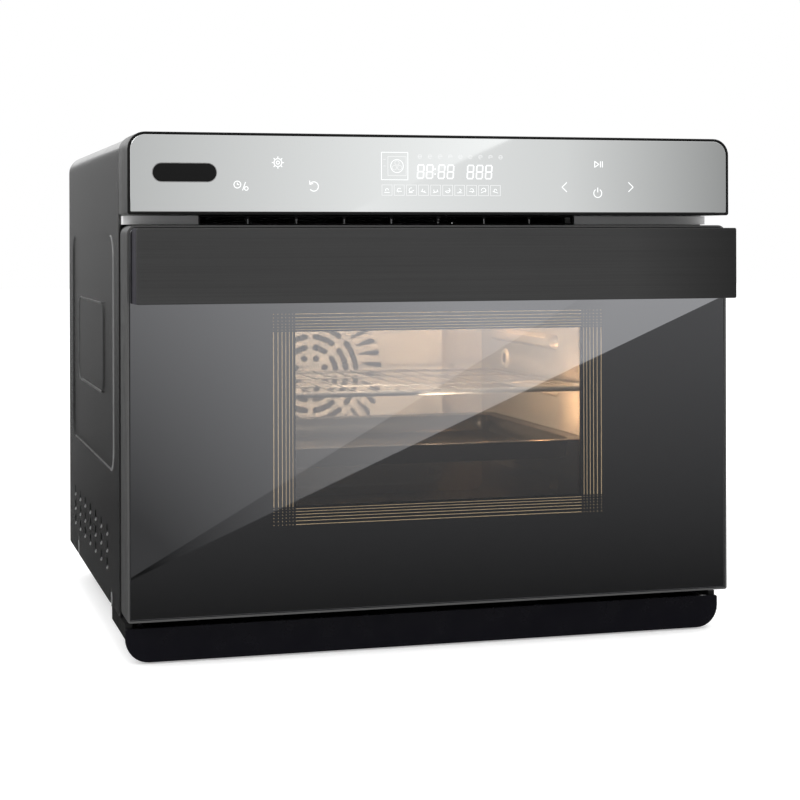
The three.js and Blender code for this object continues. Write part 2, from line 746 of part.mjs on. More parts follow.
function doorFrame() {
  const shellBack = DOOR_BACK - 2;
  const chamfer = 4;
  const outline = extrude(
    roundedRect(-HALF, HALF, DOOR_BOTTOM, DOOR_TOP, 2, 7.5), 'y', DOOR_FRONT, shellBack, 4,
  );
  const glassSeat = extrude(
    roundedRect(1.6 - HALF, HALF - 1.6, DOOR_BOTTOM + 1.6, DOOR_TOP - 1.6, 1, 6),
    'y', DOOR_FRONT - 5, DOOR_FRONT + 4.3, 4,
  );
  const hollow = extrude(
    roundedRect(
      DOOR_WALL - HALF, HALF - DOOR_WALL, DOOR_BOTTOM + DOOR_WALL, DOOR_TOP - DOOR_WALL, 1, 5,
    ),
    'y', DOOR_FRONT + 4, shellBack - 2, 4,
  );
  const windowHole = extrude(
    roundedRect(-160, 160, 96, 312, 8), 'y', shellBack - 6, shellBack + 6,
  );
  const lowerEdge = extrude(
    polygon([
      [shellBack - chamfer, DOOR_BOTTOM - 5], [shellBack + 5, DOOR_BOTTOM - 5],
      [shellBack + 5, DOOR_BOTTOM + chamfer + 5], [shellBack - chamfer, DOOR_BOTTOM - 0.01],
    ]),
    'x', -HALF - 5, HALF + 5,
  );
  // The chamfer would open the hollow, so a sloped strip closes it from inside
  const strip = extrude(
    polygon([
      [shellBack - chamfer - 3, DOOR_BOTTOM + 0.5], [shellBack - chamfer + 2, DOOR_BOTTOM + 0.5],
      [shellBack - 0.5, DOOR_BOTTOM + chamfer + 1], [shellBack - 0.5, DOOR_BOTTOM + chamfer + 5],
    ]),
    'x', 1 - HALF, HALF - 1,
  );
  const notches = [-1, 1].map((side) => box(
    side * HINGE_X - 4.5, side * HINGE_X + 4.5, PIVOT_Y - 7, DOOR_BACK + 5, DOOR_BOTTOM - 5, PIVOT_Z + 9,
  ));
  return cut(join(cut(outline, glassSeat, hollow, windowHole), strip), lowerEdge, ...notches);
}

function hingeArm(side) {
  const x = side * HINGE_X;
  const floor = CASING_BOTTOM + 1.5 + GAP;
  const profile = new THREE.Shape();
  profile.moveTo(PIVOT_Y, PIVOT_Z - ARM_HALF_HEIGHT);
  profile.lineTo(CASING_FRONT + 12, PIVOT_Z - ARM_HALF_HEIGHT);
  profile.lineTo(CASING_FRONT + 12, floor);
  profile.lineTo(CASING_FRONT + 40, floor);
  profile.lineTo(CASING_FRONT + 40, PIVOT_Z + ARM_HALF_HEIGHT);
  profile.absarc(PIVOT_Y, PIVOT_Z, ARM_HALF_HEIGHT, QUARTER, 3 * QUARTER);
  const hole = new THREE.Path();
  hole.absarc(PIVOT_Y, PIVOT_Z, 3.5, 0, 4 * QUARTER);
  profile.holes.push(hole);
  return extrude(profile, 'x', x - 2, x + 2, 8);
}

function hingeBody(side) {
  const x = side * HINGE_X;
  const front = PIVOT_Y - 7.2;
  const block = box(x - 8, x + 8, front, DOOR_BACK - 4 - GAP, PIVOT_Z - 5.5, PIVOT_Z + 15);
  return cut(
    block,
    box(x - 4.5, x + 4.5, front + 1.5, DOOR_BACK, PIVOT_Z - 20, PIVOT_Z + 12),
    rod('x', SHAFT_BORE, x - 15, x + 15, [PIVOT_Y, PIVOT_Z]),
  );
}

class Helix extends THREE.Curve {
  constructor(radius, bottom, top, turns) {
    super();
    Object.assign(this, { radius, bottom, top, turns });
  }

  getPoint(t, target = new THREE.Vector3()) {
    const angle = t * this.turns * 4 * QUARTER;
    const z = this.bottom + t * (this.top - this.bottom);
    return target.set(this.radius * Math.cos(angle), this.radius * Math.sin(angle), z);
  }
}

function hingeSpring(side) {
  const turns = 8;
  const section = new THREE.Shape().absarc(0, 0, 0.9, 0, 4 * QUARTER);
  const coil = new THREE.ExtrudeGeometry(section, {
    steps: turns * 6,
    curveSegments: 3,
    extrudePath: new Helix(5, PIVOT_Z + 18, PIVOT_Z + 90, turns),
  });
  return coil.translate(side * HINGE_X, PIVOT_Y + 10, 0);
}

function handle() {
  const back = HANDLE_FRONT + HANDLE_PLATE;
  add('handle_plate', 'handle', extrude(
    roundedRect(-HANDLE_HALF, HANDLE_HALF, HANDLE_BOTTOM, HANDLE_TOP, 1.5), 'y', HANDLE_FRONT, back,
  ));
  for (const [name, side] of [['handle_bracket_left', -1], ['handle_bracket_right', 1]]) {
    const outer = side * HANDLE_HALF;
    const inner = side * (HANDLE_HALF - 6);
    add(name, 'handle', box(
      Math.min(outer, inner), Math.max(outer, inner), back + GAP, DOOR_FRONT - GAP, HANDLE_BOTTOM, HANDLE_TOP,
    ));
  }
}

function door() {
  add('door_frame', 'trim', doorFrame());
  add('door_outer_glass', 'darkGlass', extrude(
    roundedRect(2 - HALF, HALF - 2, DOOR_BOTTOM + 2, DOOR_TOP - 2, 0.8, 5.6),
    'y', DOOR_FRONT, DOOR_FRONT + 4, 4,
  ));
  add('door_inner_glass', 'glass', box(-172, 172, DOOR_BACK - 12, DOOR_BACK - 8, 84, 324));
  add('door_liner', 'steel', cut(
    extrude(
      roundedRing(
        [4 - HALF, HALF - 4, DOOR_BOTTOM + 14, DOOR_TOP - 4, 3],
        [-150, 150, 105, 303, 10],
      ),
      'y', DOOR_BACK - 2 + GAP, DOOR_BACK,
    ),
    ...[-1, 1].map((side) => box(
      side * HINGE_X - 4.5, side * HINGE_X + 4.5, DOOR_BACK - 5, DOOR_BACK + 5, DOOR_BOTTOM, PIVOT_Z + 9,
    )),
  ));
  handle();
  for (const [name, side] of [['left', -1], ['right', 1]]) {
    const x = side * HINGE_X;
    add(`hinge_pin_${name}`, 'steel', rod('x', SHAFT_RADIUS, x - 9, x + 9, [PIVOT_Y, PIVOT_Z]));
    add(`hinge_body_${name}`, 'steel', hingeBody(side));
    add(`hinge_spring_${name}`, 'steel', hingeSpring(side));
    add(`hinge_arm_${name}`, 'steel', hingeArm(side));
  }
}

// ---------------------------------------------------------------- drip tray

function dripTray() {
  const panHalf = 245;
  const wall = 2;
  const fascia = extrude(
    roundedRect(0.5 - HALF, HALF - 0.5, TRAY_BOTTOM, TRAY_TOP, 19, 2), 'y', TRAY_FRONT, TRAY_FRONT + 4, 4,
  );
  const slope = (inset, lift) => polygon([
    [TRAY_FRONT + 3 + inset, TRAY_BOTTOM + 1.5 + inset], [TRAY_FRONT + 17, TRAY_BOTTOM + 1.5 + inset],
    [TRAY_BACK - inset, TRAY_TOP - 5.5 + inset], [TRAY_BACK - inset, TRAY_TOP - 1 + lift],
    [TRAY_FRONT + 3 + inset, TRAY_TOP - 1 + lift],
  ]);
  const pan = extrude(slope(0, 0), 'x', -panHalf, panHalf);
  const hollow = extrude(slope(wall, 5), 'x', wall - panHalf, panHalf - wall);
  const lips = [-1, 1].map((side) => {
    const inner = side * (panHalf - 1);
    const outer = side * (panHalf + 7.5);
    return box(
      Math.min(inner, outer), Math.max(inner, outer), TRAY_FRONT + 3, TRAY_BACK, TRAY_TOP - 2.5, TRAY_TOP - 1,
    );
  });
  return cut(join(fascia, pan, ...lips), hollow);
}

function trayRail(side) {
  const top = CASING_BOTTOM - GAP;
  const section = polygon([
    [side * 253.5, top], [side * 259.2, top], [side * 259.2, 20], [side * 256, 20], [side * 247, 24],
    [side * 247, 25.6], [side * 253.5, 25.6],
  ]);
  return extrude(section, 'y', TRAY_FRONT + 5, TRAY_BACK);
}

function dripTrayGroup() {
  add('drip_tray', 'trayBlue', dripTray());
  add('tray_rail_left', 'steel', trayRail(-1));
  add('tray_rail_right', 'steel', trayRail(1));
}

casingAndBase();
controlHead();
cavity();
coolingAndPower();
door();
dripTrayGroup();

export default oven;
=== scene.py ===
import json
import math

import bmesh
import bpy
from mathutils import Matrix, Vector


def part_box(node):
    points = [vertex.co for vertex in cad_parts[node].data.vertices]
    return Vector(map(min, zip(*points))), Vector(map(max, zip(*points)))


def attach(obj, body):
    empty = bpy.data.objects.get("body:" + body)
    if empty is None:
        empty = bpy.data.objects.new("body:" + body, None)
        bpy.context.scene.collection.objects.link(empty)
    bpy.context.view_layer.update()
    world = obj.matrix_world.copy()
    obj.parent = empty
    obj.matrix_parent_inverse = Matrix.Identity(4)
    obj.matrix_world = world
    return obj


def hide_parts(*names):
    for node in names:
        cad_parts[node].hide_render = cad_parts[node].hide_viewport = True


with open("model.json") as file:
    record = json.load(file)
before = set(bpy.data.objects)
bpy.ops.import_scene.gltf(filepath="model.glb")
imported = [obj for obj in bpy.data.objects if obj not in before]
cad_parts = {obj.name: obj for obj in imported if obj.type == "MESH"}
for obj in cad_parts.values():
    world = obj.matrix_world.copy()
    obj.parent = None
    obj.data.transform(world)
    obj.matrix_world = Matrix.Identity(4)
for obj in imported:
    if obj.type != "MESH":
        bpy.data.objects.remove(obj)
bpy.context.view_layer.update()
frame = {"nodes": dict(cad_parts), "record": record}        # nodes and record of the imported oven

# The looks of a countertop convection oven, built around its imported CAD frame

SCENE = bpy.context.scene

# ---- sizes, in metres

HALF_TURN = math.pi
CASING_LOW, CASING_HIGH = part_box("outer_casing")
HEAD_LOW, HEAD_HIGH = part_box("control_housing")
LINER_LOW, LINER_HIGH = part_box("cavity_liner")

# The clear part of the door glass and the see-through lines printed round it
WINDOW_CENTRE = (0.001, 0.196)
WINDOW_HALF = (0.1428, 0.086)
LINE_BAND = (0.0185, 0.0148)
LINE_PITCH = 0.0034

# The cavity inside its liner
CAVITY_HALF = 0.17
CAVITY_FLOOR = 0.075
CAVITY_CEILING = 0.335
CAVITY_FRONT = LINER_LOW.y
CAVITY_BACK = 0.187
CAVITY_RADIUS = 0.012
RAIL_TOPS = [0.251 - 0.045 * level for level in range(4)]
RAIL_HEIGHT = 0.013
RAIL_REACH = 0.008
RAIL_FRONT = -0.044
RAIL_BACK = 0.138

# The thickness of the cavity's sheet metal, and of the fan cover's
SHEET = 0.0012

# Bump depths: nearly smooth paint, and a light satin grain
SMOOTH_DEPTH = 0.000002
SATIN_DEPTH = 0.000004

FAN_CENTRE = Vector((-0.025, 0.0, 0.2055))


# ---- node materials

def tone(value):
    """A socket as it is, or a colour from a grey level or from three numbers."""
    if isinstance(value, bpy.types.NodeSocket):
        return value
    return (*value, 1.0) if isinstance(value, tuple) else (value, value, value, 1.0)


class Shader:
    """One material's node tree. Each call adds a node and gives back its output."""

    def __init__(self, name):
        self.material = bpy.data.materials.new(name)
        self.material.use_nodes = True
        self.tree = self.material.node_tree
        self.tree.nodes.clear()

    def node(self, kind, values=None, out=0, **settings):
        made = self.tree.nodes.new("ShaderNode" + kind)
        for key, value in settings.items():
            setattr(made, key, value)
        for key, value in (values or {}).items():
            self.fill(made.inputs[key], value)
        return made.outputs[out]

    def fill(self, socket, value):
        """Links a socket to a node's output, or sets it to a value."""
        if isinstance(value, bpy.types.NodeSocket):
            self.tree.links.new(value, socket)
        else:
            socket.default_value = value

    def math(self, operation, first, second=0.0):
        return self.node("Math", {0: first, 1: second}, operation=operation)

    def times(self, first, second):
        return self.math("MULTIPLY", first, second)

    def plus(self, first, second):
        return self.math("ADD", first, second)

    def mix(self, factor, first, second):
        return self.node("MixShader", {0: factor, 1: first, 2: second})

    def place(self, scale):
        coords = self.node("TexCoord", out="Object")
        return self.node("Mapping", {"Vector": coords, "Scale": scale})

    def axes(self):
        coords = self.node("TexCoord", out="Object")
        split = self.tree.nodes.new("ShaderNodeSeparateXYZ")
        self.tree.links.new(coords, split.inputs[0])
        return split.outputs

    def noise(self, scale, detail=3.0, stretch=(1, 1, 1), roughness=0.5):
        values = {"Scale": scale, "Detail": detail, "Roughness": roughness}
        return self.node("TexNoise", {"Vector": self.place(stretch), **values})

    def ramp(self, value, low, high, start=0.0, end=1.0):
        values = {"From Min": start, "From Max": end, "To Min": low, "To Max": high}
        return self.node("MapRange", {"Value": value, **values})

    def blend(self, factor, first, second):
        made = self.tree.nodes.new("ShaderNodeMix")
        made.data_type = "RGBA"
        for index, value in ((0, factor), (6, tone(first)), (7, tone(second))):
            self.fill(made.inputs[index], value)
        return made.outputs[2]

    def bump(self, height, distance):
        return self.node("Bump", {"Height": height, "Distance": distance, "Strength": 1.0})

    def grained(self, fine, coarse):
        """Three parts of a fine pattern to one part of a coarse one."""
        return self.plus(self.times(fine, 0.75), self.times(coarse, 0.25))

    def principled(self, colour, roughness, height, depth, **more):
        """Finishes the material as one surface whose bump follows a height."""
        values = {"Base Color": colour, "Roughness": roughness, "Normal": self.bump(height, depth)}
        return self.finish(self.node("BsdfPrincipled", {**values, **more}))

    def finish(self, surface):
        output = self.tree.nodes.new("ShaderNodeOutputMaterial")
        self.tree.links.new(surface, output.inputs["Surface"])
        return self.material


def coated(name, dark, light, roughness, metallic=0.0, grain=900.0, depth=0.00004, ior=1.45):
    """Powder coat or moulded plastic: a fine orange-peel grain and slow tone changes."""
    shade = Shader(name)
    colour = shade.blend(shade.noise(9.0, 4.0), dark, light)
    gloss = shade.ramp(shade.noise(60.0, 3.0), roughness * 0.85, roughness * 1.15, 0.3, 0.7)
    return shade.principled(colour, gloss, shade.noise(grain, 2.0), depth, Metallic=metallic, IOR=ior)


def brushed(name, dark, light, roughness, stretch, metallic, depth):
    """Metal with a fine grain drawn out along one direction."""
    shade = Shader(name)
    streaks = shade.noise(700.0, 3.0, stretch)
    colour = shade.blend(shade.grained(streaks, shade.noise(6.0, 3.0)), dark, light)
    gloss = shade.ramp(streaks, roughness * 0.7, roughness * 1.3, 0.3, 0.7)
    return shade.principled(colour, gloss, streaks, depth, Metallic=metallic, IOR=1.45)


def handle_metal():
    """Blackened metal brushed along the bar, with painted shade darkening it towards the right end."""
    shade = Shader("handle_metal")
    streaks = shade.noise(520.0, 4.0, (0.01, 1, 1.8), 0.6)
    bare = shade.blend(shade.grained(streaks, shade.noise(5.0, 3.0)), 0.016, 0.041)
    # Painted shade: the colour darkens towards the bar's right end
    painted_shade_right = shade.ramp(shade.axes()[0], 0.0, 0.62, 0.16, 0.256)
    gloss = shade.ramp(streaks, 0.34, 0.5, 0.3, 0.7)
    return shade.principled(shade.blend(painted_shade_right, bare, 0.0), gloss, streaks, SMOOTH_DEPTH, IOR=1.28)


def clear_glass(name, tint, reflect_ior=1.45):
    """Thin clear glass: light passes straight through, and the face mirrors by its angle."""
    shade = Shader(name)
    smear = shade.noise(14.0, 4.0)
    through = shade.node("BsdfTransparent", {"Color": tone(tint)})
    gloss = shade.node("BsdfGlossy", {
        "Color": (1, 1, 1, 1), "Roughness": shade.ramp(smear, 0.01, 0.05, 0.35, 0.7),
    })
    facing = shade.node("Fresnel", {"IOR": reflect_ior})
    return shade.finish(shade.mix(facing, through, gloss))


def printed_lines(shade, distance, pitch):
    """Thin lines that crowd together with the distance from the outermost one."""
    crowding, line_share = 14.0, 0.19
    crowd = shade.plus(1.0, shade.times(distance, crowding))
    turns = shade.math("DIVIDE", shade.times(distance, crowd), pitch)
    saw = shade.math("FRACT", turns)
    inside = shade.math("GREATER_THAN", distance, 0.0)
    return shade.times(shade.math("LESS_THAN", saw, line_share), inside)


def door_glass():
    """Black printed glass with a clear window in a border of thin see-through lines."""
    shade = Shader("door_glass")
    calc = shade.math
    x, _, z = shade.axes()
    away_x = calc("ABSOLUTE", calc("SUBTRACT", x, WINDOW_CENTRE[0]))
    away_z = calc("ABSOLUTE", calc("SUBTRACT", z, WINDOW_CENTRE[1]))
    half_x, half_z = WINDOW_HALF
    within_x = calc("LESS_THAN", away_x, half_x - LINE_BAND[0])
    within_z = calc("LESS_THAN", away_z, half_z - LINE_BAND[1])
    upright = printed_lines(shade, calc("SUBTRACT", half_x, away_x), LINE_PITCH * 1.15)
    level = printed_lines(shade, calc("SUBTRACT", half_z, away_z), LINE_PITCH * 0.9)
    at_sides = shade.times(upright, within_z)
    at_ends = shade.times(level, within_x)
    at_corners = shade.times(upright, level)
    lines = calc("MAXIMUM", calc("MAXIMUM", at_sides, at_ends), at_corners)
    window = shade.times(within_x, within_z)
    smear = shade.noise(5.0, 4.0)
    ink = shade.node("BsdfDiffuse", {"Color": shade.blend(smear, 0.0035, 0.0055)})
    tan = shade.blend(smear, (0.46, 0.34, 0.2), (0.54, 0.41, 0.25))
    frosted = shade.node("BsdfDiffuse", {"Color": tan})
    through = shade.node("BsdfTransparent", {"Color": (0.57, 0.545, 0.512, 1)})
    clear_share, mirror_ior = 0.45, 2.2
    haze = shade.mix(clear_share, frosted, through)
    body = shade.mix(lines, ink, haze)
    body = shade.mix(window, body, through)
    gloss = shade.node("BsdfGlossy", {
        "Color": (0.95, 0.96, 1.0, 1), "Roughness": shade.ramp(smear, 0.004, 0.012, 0.35, 0.7),
    })
    facing = shade.node("Fresnel", {"IOR": mirror_ior})
    return shade.finish(shade.mix(facing, body, gloss))


def mirror_glass():
    """The control head's silvered glass, with clouds too faint to notice."""
    shade = Shader("mirror_glass")
    cloud = shade.noise(4.0, 3.0)
    surface = shade.node("BsdfPrincipled", {
        "Base Color": shade.blend(cloud, (0.87, 0.89, 0.885), (0.89, 0.91, 0.905)),
        "Metallic": 1.0, "Roughness": shade.ramp(cloud, 0.02, 0.04, 0.3, 0.7),
    })
    return shade.finish(surface)


def glowing(name, colour, strength):
    shade = Shader(name)
    flicker = shade.ramp(shade.noise(80.0, 2.0), strength * 0.95, strength * 1.05)
    surface = shade.node("Emission", {"Color": tone(colour), "Strength": flicker})
    return shade.finish(surface)


def wool(name, dark, light):
    shade = Shader(name)
    fibres = shade.noise(500.0, 6.0, (1, 1, 3), 0.7)
    return shade.principled(shade.blend(fibres, dark, light), 0.95, fibres, 0.0008)


CASING_PAINT = coated("casing_paint", 0.0175, 0.019, 0.13, 0.0, 1400.0, SMOOTH_DEPTH, 1.5)
TRIM = coated("grey_trim", 0.07, 0.08, 0.34, 0.2, 1200.0, SATIN_DEPTH)
BLACK = coated("black_plastic", 0.003, 0.004, 0.4, 0.0, 1500.0, 0.00001, 1.25)
RUBBER = coated("rubber", 0.01, 0.016, 0.8, 0.0, 700.0, 0.00006)
TRAY_GLOSS = coated(
    "tray_plastic", (0.0032, 0.003, 0.0052), (0.0043, 0.0041, 0.0068), 0.25, 0.0, 500.0, SATIN_DEPTH, 1.3,
)
ENAMEL = coated("tray_enamel", (0.014, 0.013, 0.011), (0.024, 0.021, 0.018), 0.2, 0.0, 300.0, 0.00001)
HANDLE = handle_metal()
STEEL = brushed("steel", 0.38, 0.45, 0.36, (1, 1, 0.04), 1.0, 0.000005)
CAVITY = brushed(
    "cavity_steel", (0.515, 0.5, 0.485), (0.5974, 0.58, 0.5626), 0.45, (1, 0.05, 1), 0.35, 0.000005,
)
COVER = brushed("fan_cover_steel", 0.57, 0.62, 0.5, (0.05, 1, 1), 0.2, SMOOTH_DEPTH)
WIRE = brushed("bright_wire", 0.26, 0.33, 0.4, (1, 1, 1), 0.3, SMOOTH_DEPTH)
# Light chrome for bright lines: painted highlights on the grille bars, the fan cover's fold and the rack's front
# rail
PAINTED_HIGHLIGHT_CHROME = brushed("painted_highlight_chrome", 0.62, 0.7, 0.5, (1, 1, 1), 0.1, SMOOTH_DEPTH)
# The fan wheel is darkened as painted shade, for the dark seen through the cover's slots
FAN_PAINTED_SHADE_STEEL = brushed("fan_painted_shade_steel", (0.075, 0.063, 0.052), (0.13, 0.11, 0.09), 0.5, (1, 1, 1), 0.2, SATIN_DEPTH)
ELEMENT = coated("heater_tube", (0.1, 0.08, 0.07), (0.18, 0.15, 0.13), 0.5, 0.6, 500.0, 0.00003)
BOARD = coated("circuit_board", (0.01, 0.07, 0.03), (0.02, 0.11, 0.05), 0.5)
WOOL = wool("insulation", (0.03, 0.027, 0.022), (0.05, 0.045, 0.036))
CERAMIC = coated("ceramic", (0.84, 0.8, 0.72), (0.9, 0.86, 0.79), 0.35, 0.0, 300.0, 0.00001)
LENS = clear_glass("lamp_glass", (0.95, 0.93, 0.88))
INNER_GLASS = clear_glass("inner_glass", (0.96, 0.97, 0.96), 1.1)
FILAMENT = glowing("bulb_glow", (1.0, 0.72, 0.42), 30.0)
# The white print glows as painted light, though it is no lamp
PAINTED_GLOW_PRINT = glowing("white_print_painted_glow", (0.95, 0.97, 0.97), 1.25)
PAINTED_GLOW_FINE_PRINT = glowing("fine_print_painted_glow", (0.97, 0.98, 0.98), 1.0)
DOOR_GLASS = door_glass()
MIRROR = mirror_glass()

HANDLE_SIDE = coated(
    "handle_side", (0.034, 0.032, 0.04), (0.04, 0.038, 0.047), 0.5, 0.0, 900.0, SATIN_DEPTH, 1.3,
)
STRIP = coated("strip_trim", 0.66, 0.71, 0.4, 0.0, 1200.0, SMOOTH_DEPTH, 1.3)
# Lighter paint for thin lines along edges: painted highlights
PAINTED_EDGE_HIGHLIGHT = coated("painted_edge_highlight", 0.15, 0.18, 0.3, 0.0, 1200.0, SMOOTH_DEPTH)
# Slightly lighter paint for faint lines along edges: painted faint highlights
PAINTED_FAINT_HIGHLIGHT = coated("painted_faint_highlight", 0.05, 0.06, 0.3, 0.0, 1200.0, SMOOTH_DEPTH)
# Light paint for arcs on the vent and dimple rims: painted highlights
PAINTED_RIM_HIGHLIGHT = coated("painted_rim_highlight", 0.25, 0.31, 0.3, 0.0, 1200.0, SMOOTH_DEPTH)
# Near-black paint for discs in the vent holes: painted shade
PAINTED_HOLE_SHADE = coated("vent_hole_painted_shade", 0.0006, 0.0012, 0.9, 0.0, 600.0, SMOOTH_DEPTH, 1.03)
# Near-black steel: painted shade for parts seen only in shadow
PAINTED_SHADE_STEEL = coated("painted_shade_steel", 0.01, 0.016, 0.6, 0.0, 600.0, 0.00001, 1.2)

CAD_FINISHES = {
    "steel": STEEL, "black_plastic": BLACK, "grey_trim": TRIM, "rubber": RUBBER, "circuit_board": BOARD,
    "insulation": WOOL, "heater_tube": ELEMENT, "bright_steel": WIRE, "tray_enamel": ENAMEL,
    "clear_glass": LENS, "handle_metal": HANDLE, "tray_plastic": TRAY_GLOSS, "casing_paint": CASING_PAINT,
    "cavity_steel": CAVITY, "mirror_glass": MIRROR, "dark_glass": DOOR_GLASS,
}


# ---- mesh helpers

SMOOTH_ANGLE = math.radians(32)

AXIS_BASES = {
    "x": Matrix(((0, 0, 1), (1, 0, 0), (0, 1, 0))),
    "y": Matrix(((1, 0, 0), (0, 0, -1), (0, 1, 0))),
    "z": Matrix.Identity(3),
}


def smooth(mesh):
    mesh.shade_smooth()
    mesh.set_sharp_from_angle(angle=SMOOTH_ANGLE)
    return mesh


def added(name, data):
    """A new object in the scene."""
    made = bpy.data.objects.new(name, data)
    SCENE.collection.objects.link(made)
    return made


def piece(name, mesh, material, nodes=(), body="oven"):
    """A finished piece that rides on a body and stands for the CAD nodes it names."""
    made = added(name, smooth(mesh))
    mesh.materials.clear()
    mesh.materials.append(material)
    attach(made, body)
    if nodes:
        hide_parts(*nodes)


def evaluated(data, modifiers=()):
    """The mesh that a curve or a mesh with modifiers comes out as."""
    holder = added("holder", data)
    for kind, settings in modifiers:
        modifier = holder.modifiers.new(kind.lower(), kind)
        for key, value in settings.items():
            setattr(modifier, key, value)
    graph = bpy.context.evaluated_depsgraph_get()
    mesh = bpy.data.meshes.new_from_object(holder.evaluated_get(graph))
    bpy.data.objects.remove(holder)
    return mesh


def taken(work, name):
    """The mesh of a bmesh, which is freed."""
    mesh = bpy.data.meshes.new(name)
    work.to_mesh(mesh)
    work.free()
    return mesh


def merged(*meshes):
    work = bmesh.new()
    for mesh in meshes:
        work.from_mesh(mesh)
    return taken(work, "merged")


def spread(start, end, steps):
    """Evenly spaced values, both ends included."""
    return [start + (end - start) * i / steps for i in range(steps + 1)]


def pairs(*names):
    """Each name with its left and its right ending."""
    return [name + side for name in names for side in ("_left", "_right")]


def centre(name):
    """The middle of a node's box at rest."""
    low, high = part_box(name)
    return (low + high) / 2


def polar(x, z, radius, angle):
    return (x + radius * math.cos(angle), z + radius * math.sin(angle))


def rounded_loop(left, right, bottom, top, lower, upper=None, steps=6):
    """A rounded rectangle's outline, anticlockwise from its lower right corner."""
    upper = lower if upper is None else upper
    corners = [
        (right - lower, bottom + lower, lower), (right - upper, top - upper, upper),
        (left + upper, top - upper, upper), (left + lower, bottom + lower, lower),
    ]
    loop = []
    for turn, (x, y, radius) in enumerate(corners):
        for i in range(steps + 1):
            loop.append(polar(x, y, radius, HALF_TURN / 2 * (turn - 1 + i / steps)))
    return loop


def circle_loop(x, y, radius, steps=24):
    return [polar(x, y, radius, 2 * HALF_TURN / steps * i) for i in range(steps)]


def face_loop(low, high, inset, lower, upper=None, steps=6):
    """The outline of a box seen from the front, drawn in by an inset."""
    return rounded_loop(low.x + inset, high.x - inset, low.z + inset, high.z - inset, lower, upper, steps)


def slab(loops, low, high, axis="y", edge=0.0004, rounds=2):
    """A flat piece with rounded edges between two heights along an axis: the first loop is its
    outline and the others are holes."""
    curve = bpy.data.curves.new("slab", "CURVE")
    curve.dimensions = "2D"
    curve.fill_mode = "BOTH"
    curve.extrude = (high - low) / 2 - edge
    curve.bevel_depth = edge
    curve.bevel_resolution = rounds
    curve.offset = -edge
    for loop in loops:
        spline = curve.splines.new("POLY")
        spline.points.add(len(loop) - 1)
        for point, (u, v) in zip(spline.points, loop):
            point.co = (u, v, 0, 1)
        spline.use_cyclic_u = True
    mesh = evaluated(curve)
    turn = AXIS_BASES[axis].to_4x4()
    middle = Vector()
    middle["xyz".index(axis)] = (low + high) / 2
    mesh.transform(Matrix.Translation(middle) @ turn)
    return mesh


def tube(points, radius, closed=False, sides=3):
    """A round wire along a list of points."""
    curve = bpy.data.curves.new("tube", "CURVE")
    curve.dimensions = "3D"
    curve.bevel_depth = radius
    curve.bevel_resolution = sides
    curve.use_fill_caps = not closed
    spline = curve.splines.new("POLY")
    spline.points.add(len(points) - 1)
    for point, place in zip(spline.points, points):
        point.co = (*place, 1)
    spline.use_cyclic_u = closed
    return evaluated(curve)


def bent(points, corner, steps=6):
    """A path of straight runs whose corners are rounded."""
    path = [Vector(points[0])]
    for before, point, after in zip(points, points[1:], points[2:]):
        here = Vector(point)
        enter = here + (Vector(before) - here).normalized() * corner
        leave = here + (Vector(after) - here).normalized() * corner
        for step in range(steps + 1):
            t = step / steps
            path.append(enter.lerp(here, t).lerp(here.lerp(leave, t), t))
    return path + [Vector(points[-1])]


def loft(loops, cap_first=True, cap_last=True, joined=False):
    """Skins closed loops of equally many points."""
    work = bmesh.new()
    rings = [[work.verts.new(point) for point in loop] for loop in loops]
    count = len(loops[0])
    for lower, upper in zip(rings, rings[1:] + (rings[:1] if joined else [])):
        for i in range(count):
            j = (i + 1) % count
            work.faces.new((lower[i], lower[j], upper[j], upper[i]))
    if cap_first:
        work.faces.new(rings[0][::-1])
    if cap_last:
        work.faces.new(rings[-1])
    bmesh.ops.recalc_face_normals(work, faces=work.faces)
    return taken(work, "loft")


def turned(profile, centre, axis="z", steps=48, capped=True):
    """A turned part: (radius, height) points spun about an axis through a centre. An uncapped
    profile closes on itself, which leaves a hole down the middle."""
    rounds = [(circle_loop(0, 0, max(radius, 0.00001), steps), height) for radius, height in profile]
    loops = [[(u, v, height) for u, v in loop] for loop, height in rounds]
    mesh = loft(loops) if capped else loft(loops, False, False, True)
    mesh.transform(Matrix.Translation(Vector(centre)) @ AXIS_BASES[axis].to_4x4())
    return mesh


def spaced(low, high, coarse, zones=()):
    """Grid lines from low to high, closer together inside each (start, end, step) zone."""
    count = max(1, round((high - low) / coarse))
    lines = spread(low, high, count)
    for start, end, step in zones:
        lines = [v for v in lines if not start < v < end]
        count = max(1, round((end - start) / step))
        lines += spread(start, end, count)
    tidy = []
    for value in sorted(v for v in lines if low <= v <= high):
        if not tidy or value - tidy[-1] > 0.0002:
            tidy.append(value)
    return tidy


def box_distance(u, v, low_u, high_u, low_v, high_v, radius):
    """How far inside a rounded rectangle a point is; negative outside."""
    du = abs(u - (low_u + high_u) / 2) - (high_u - low_u) / 2 + radius
    dv = abs(v - (low_v + high_v) / 2) - (high_v - low_v) / 2 + radius
    outside = math.hypot(max(du, 0), max(dv, 0)) + min(max(du, dv), 0) - radius
    return -outside


def step_up(value, width):
    t = min(1.0, max(0.0, value / width + 0.5))
    return t * t * (3 - 2 * t)


def pressed_sheet(profile, rows, relief, thickness):
    """A bent sheet: a cross-section of (x, z, normal x, normal z) points carried along Y, with
    relief pressed inwards."""
    work = bmesh.new()
    grid = []
    for y in rows:
        line = []
        for x, z, nx, nz in profile:
            depth = relief(y, z, nx)
            line.append(work.verts.new((x - nx * depth, y, z - nz * depth)))
        grid.append(line)
    for near, far in zip(grid, grid[1:]):
        for i in range(len(profile) - 1):
            work.faces.new((near[i], near[i + 1], far[i + 1], far[i]))
    return evaluated(taken(work, "sheet"), [("SOLIDIFY", {"thickness": thickness, "offset": -1.0})])


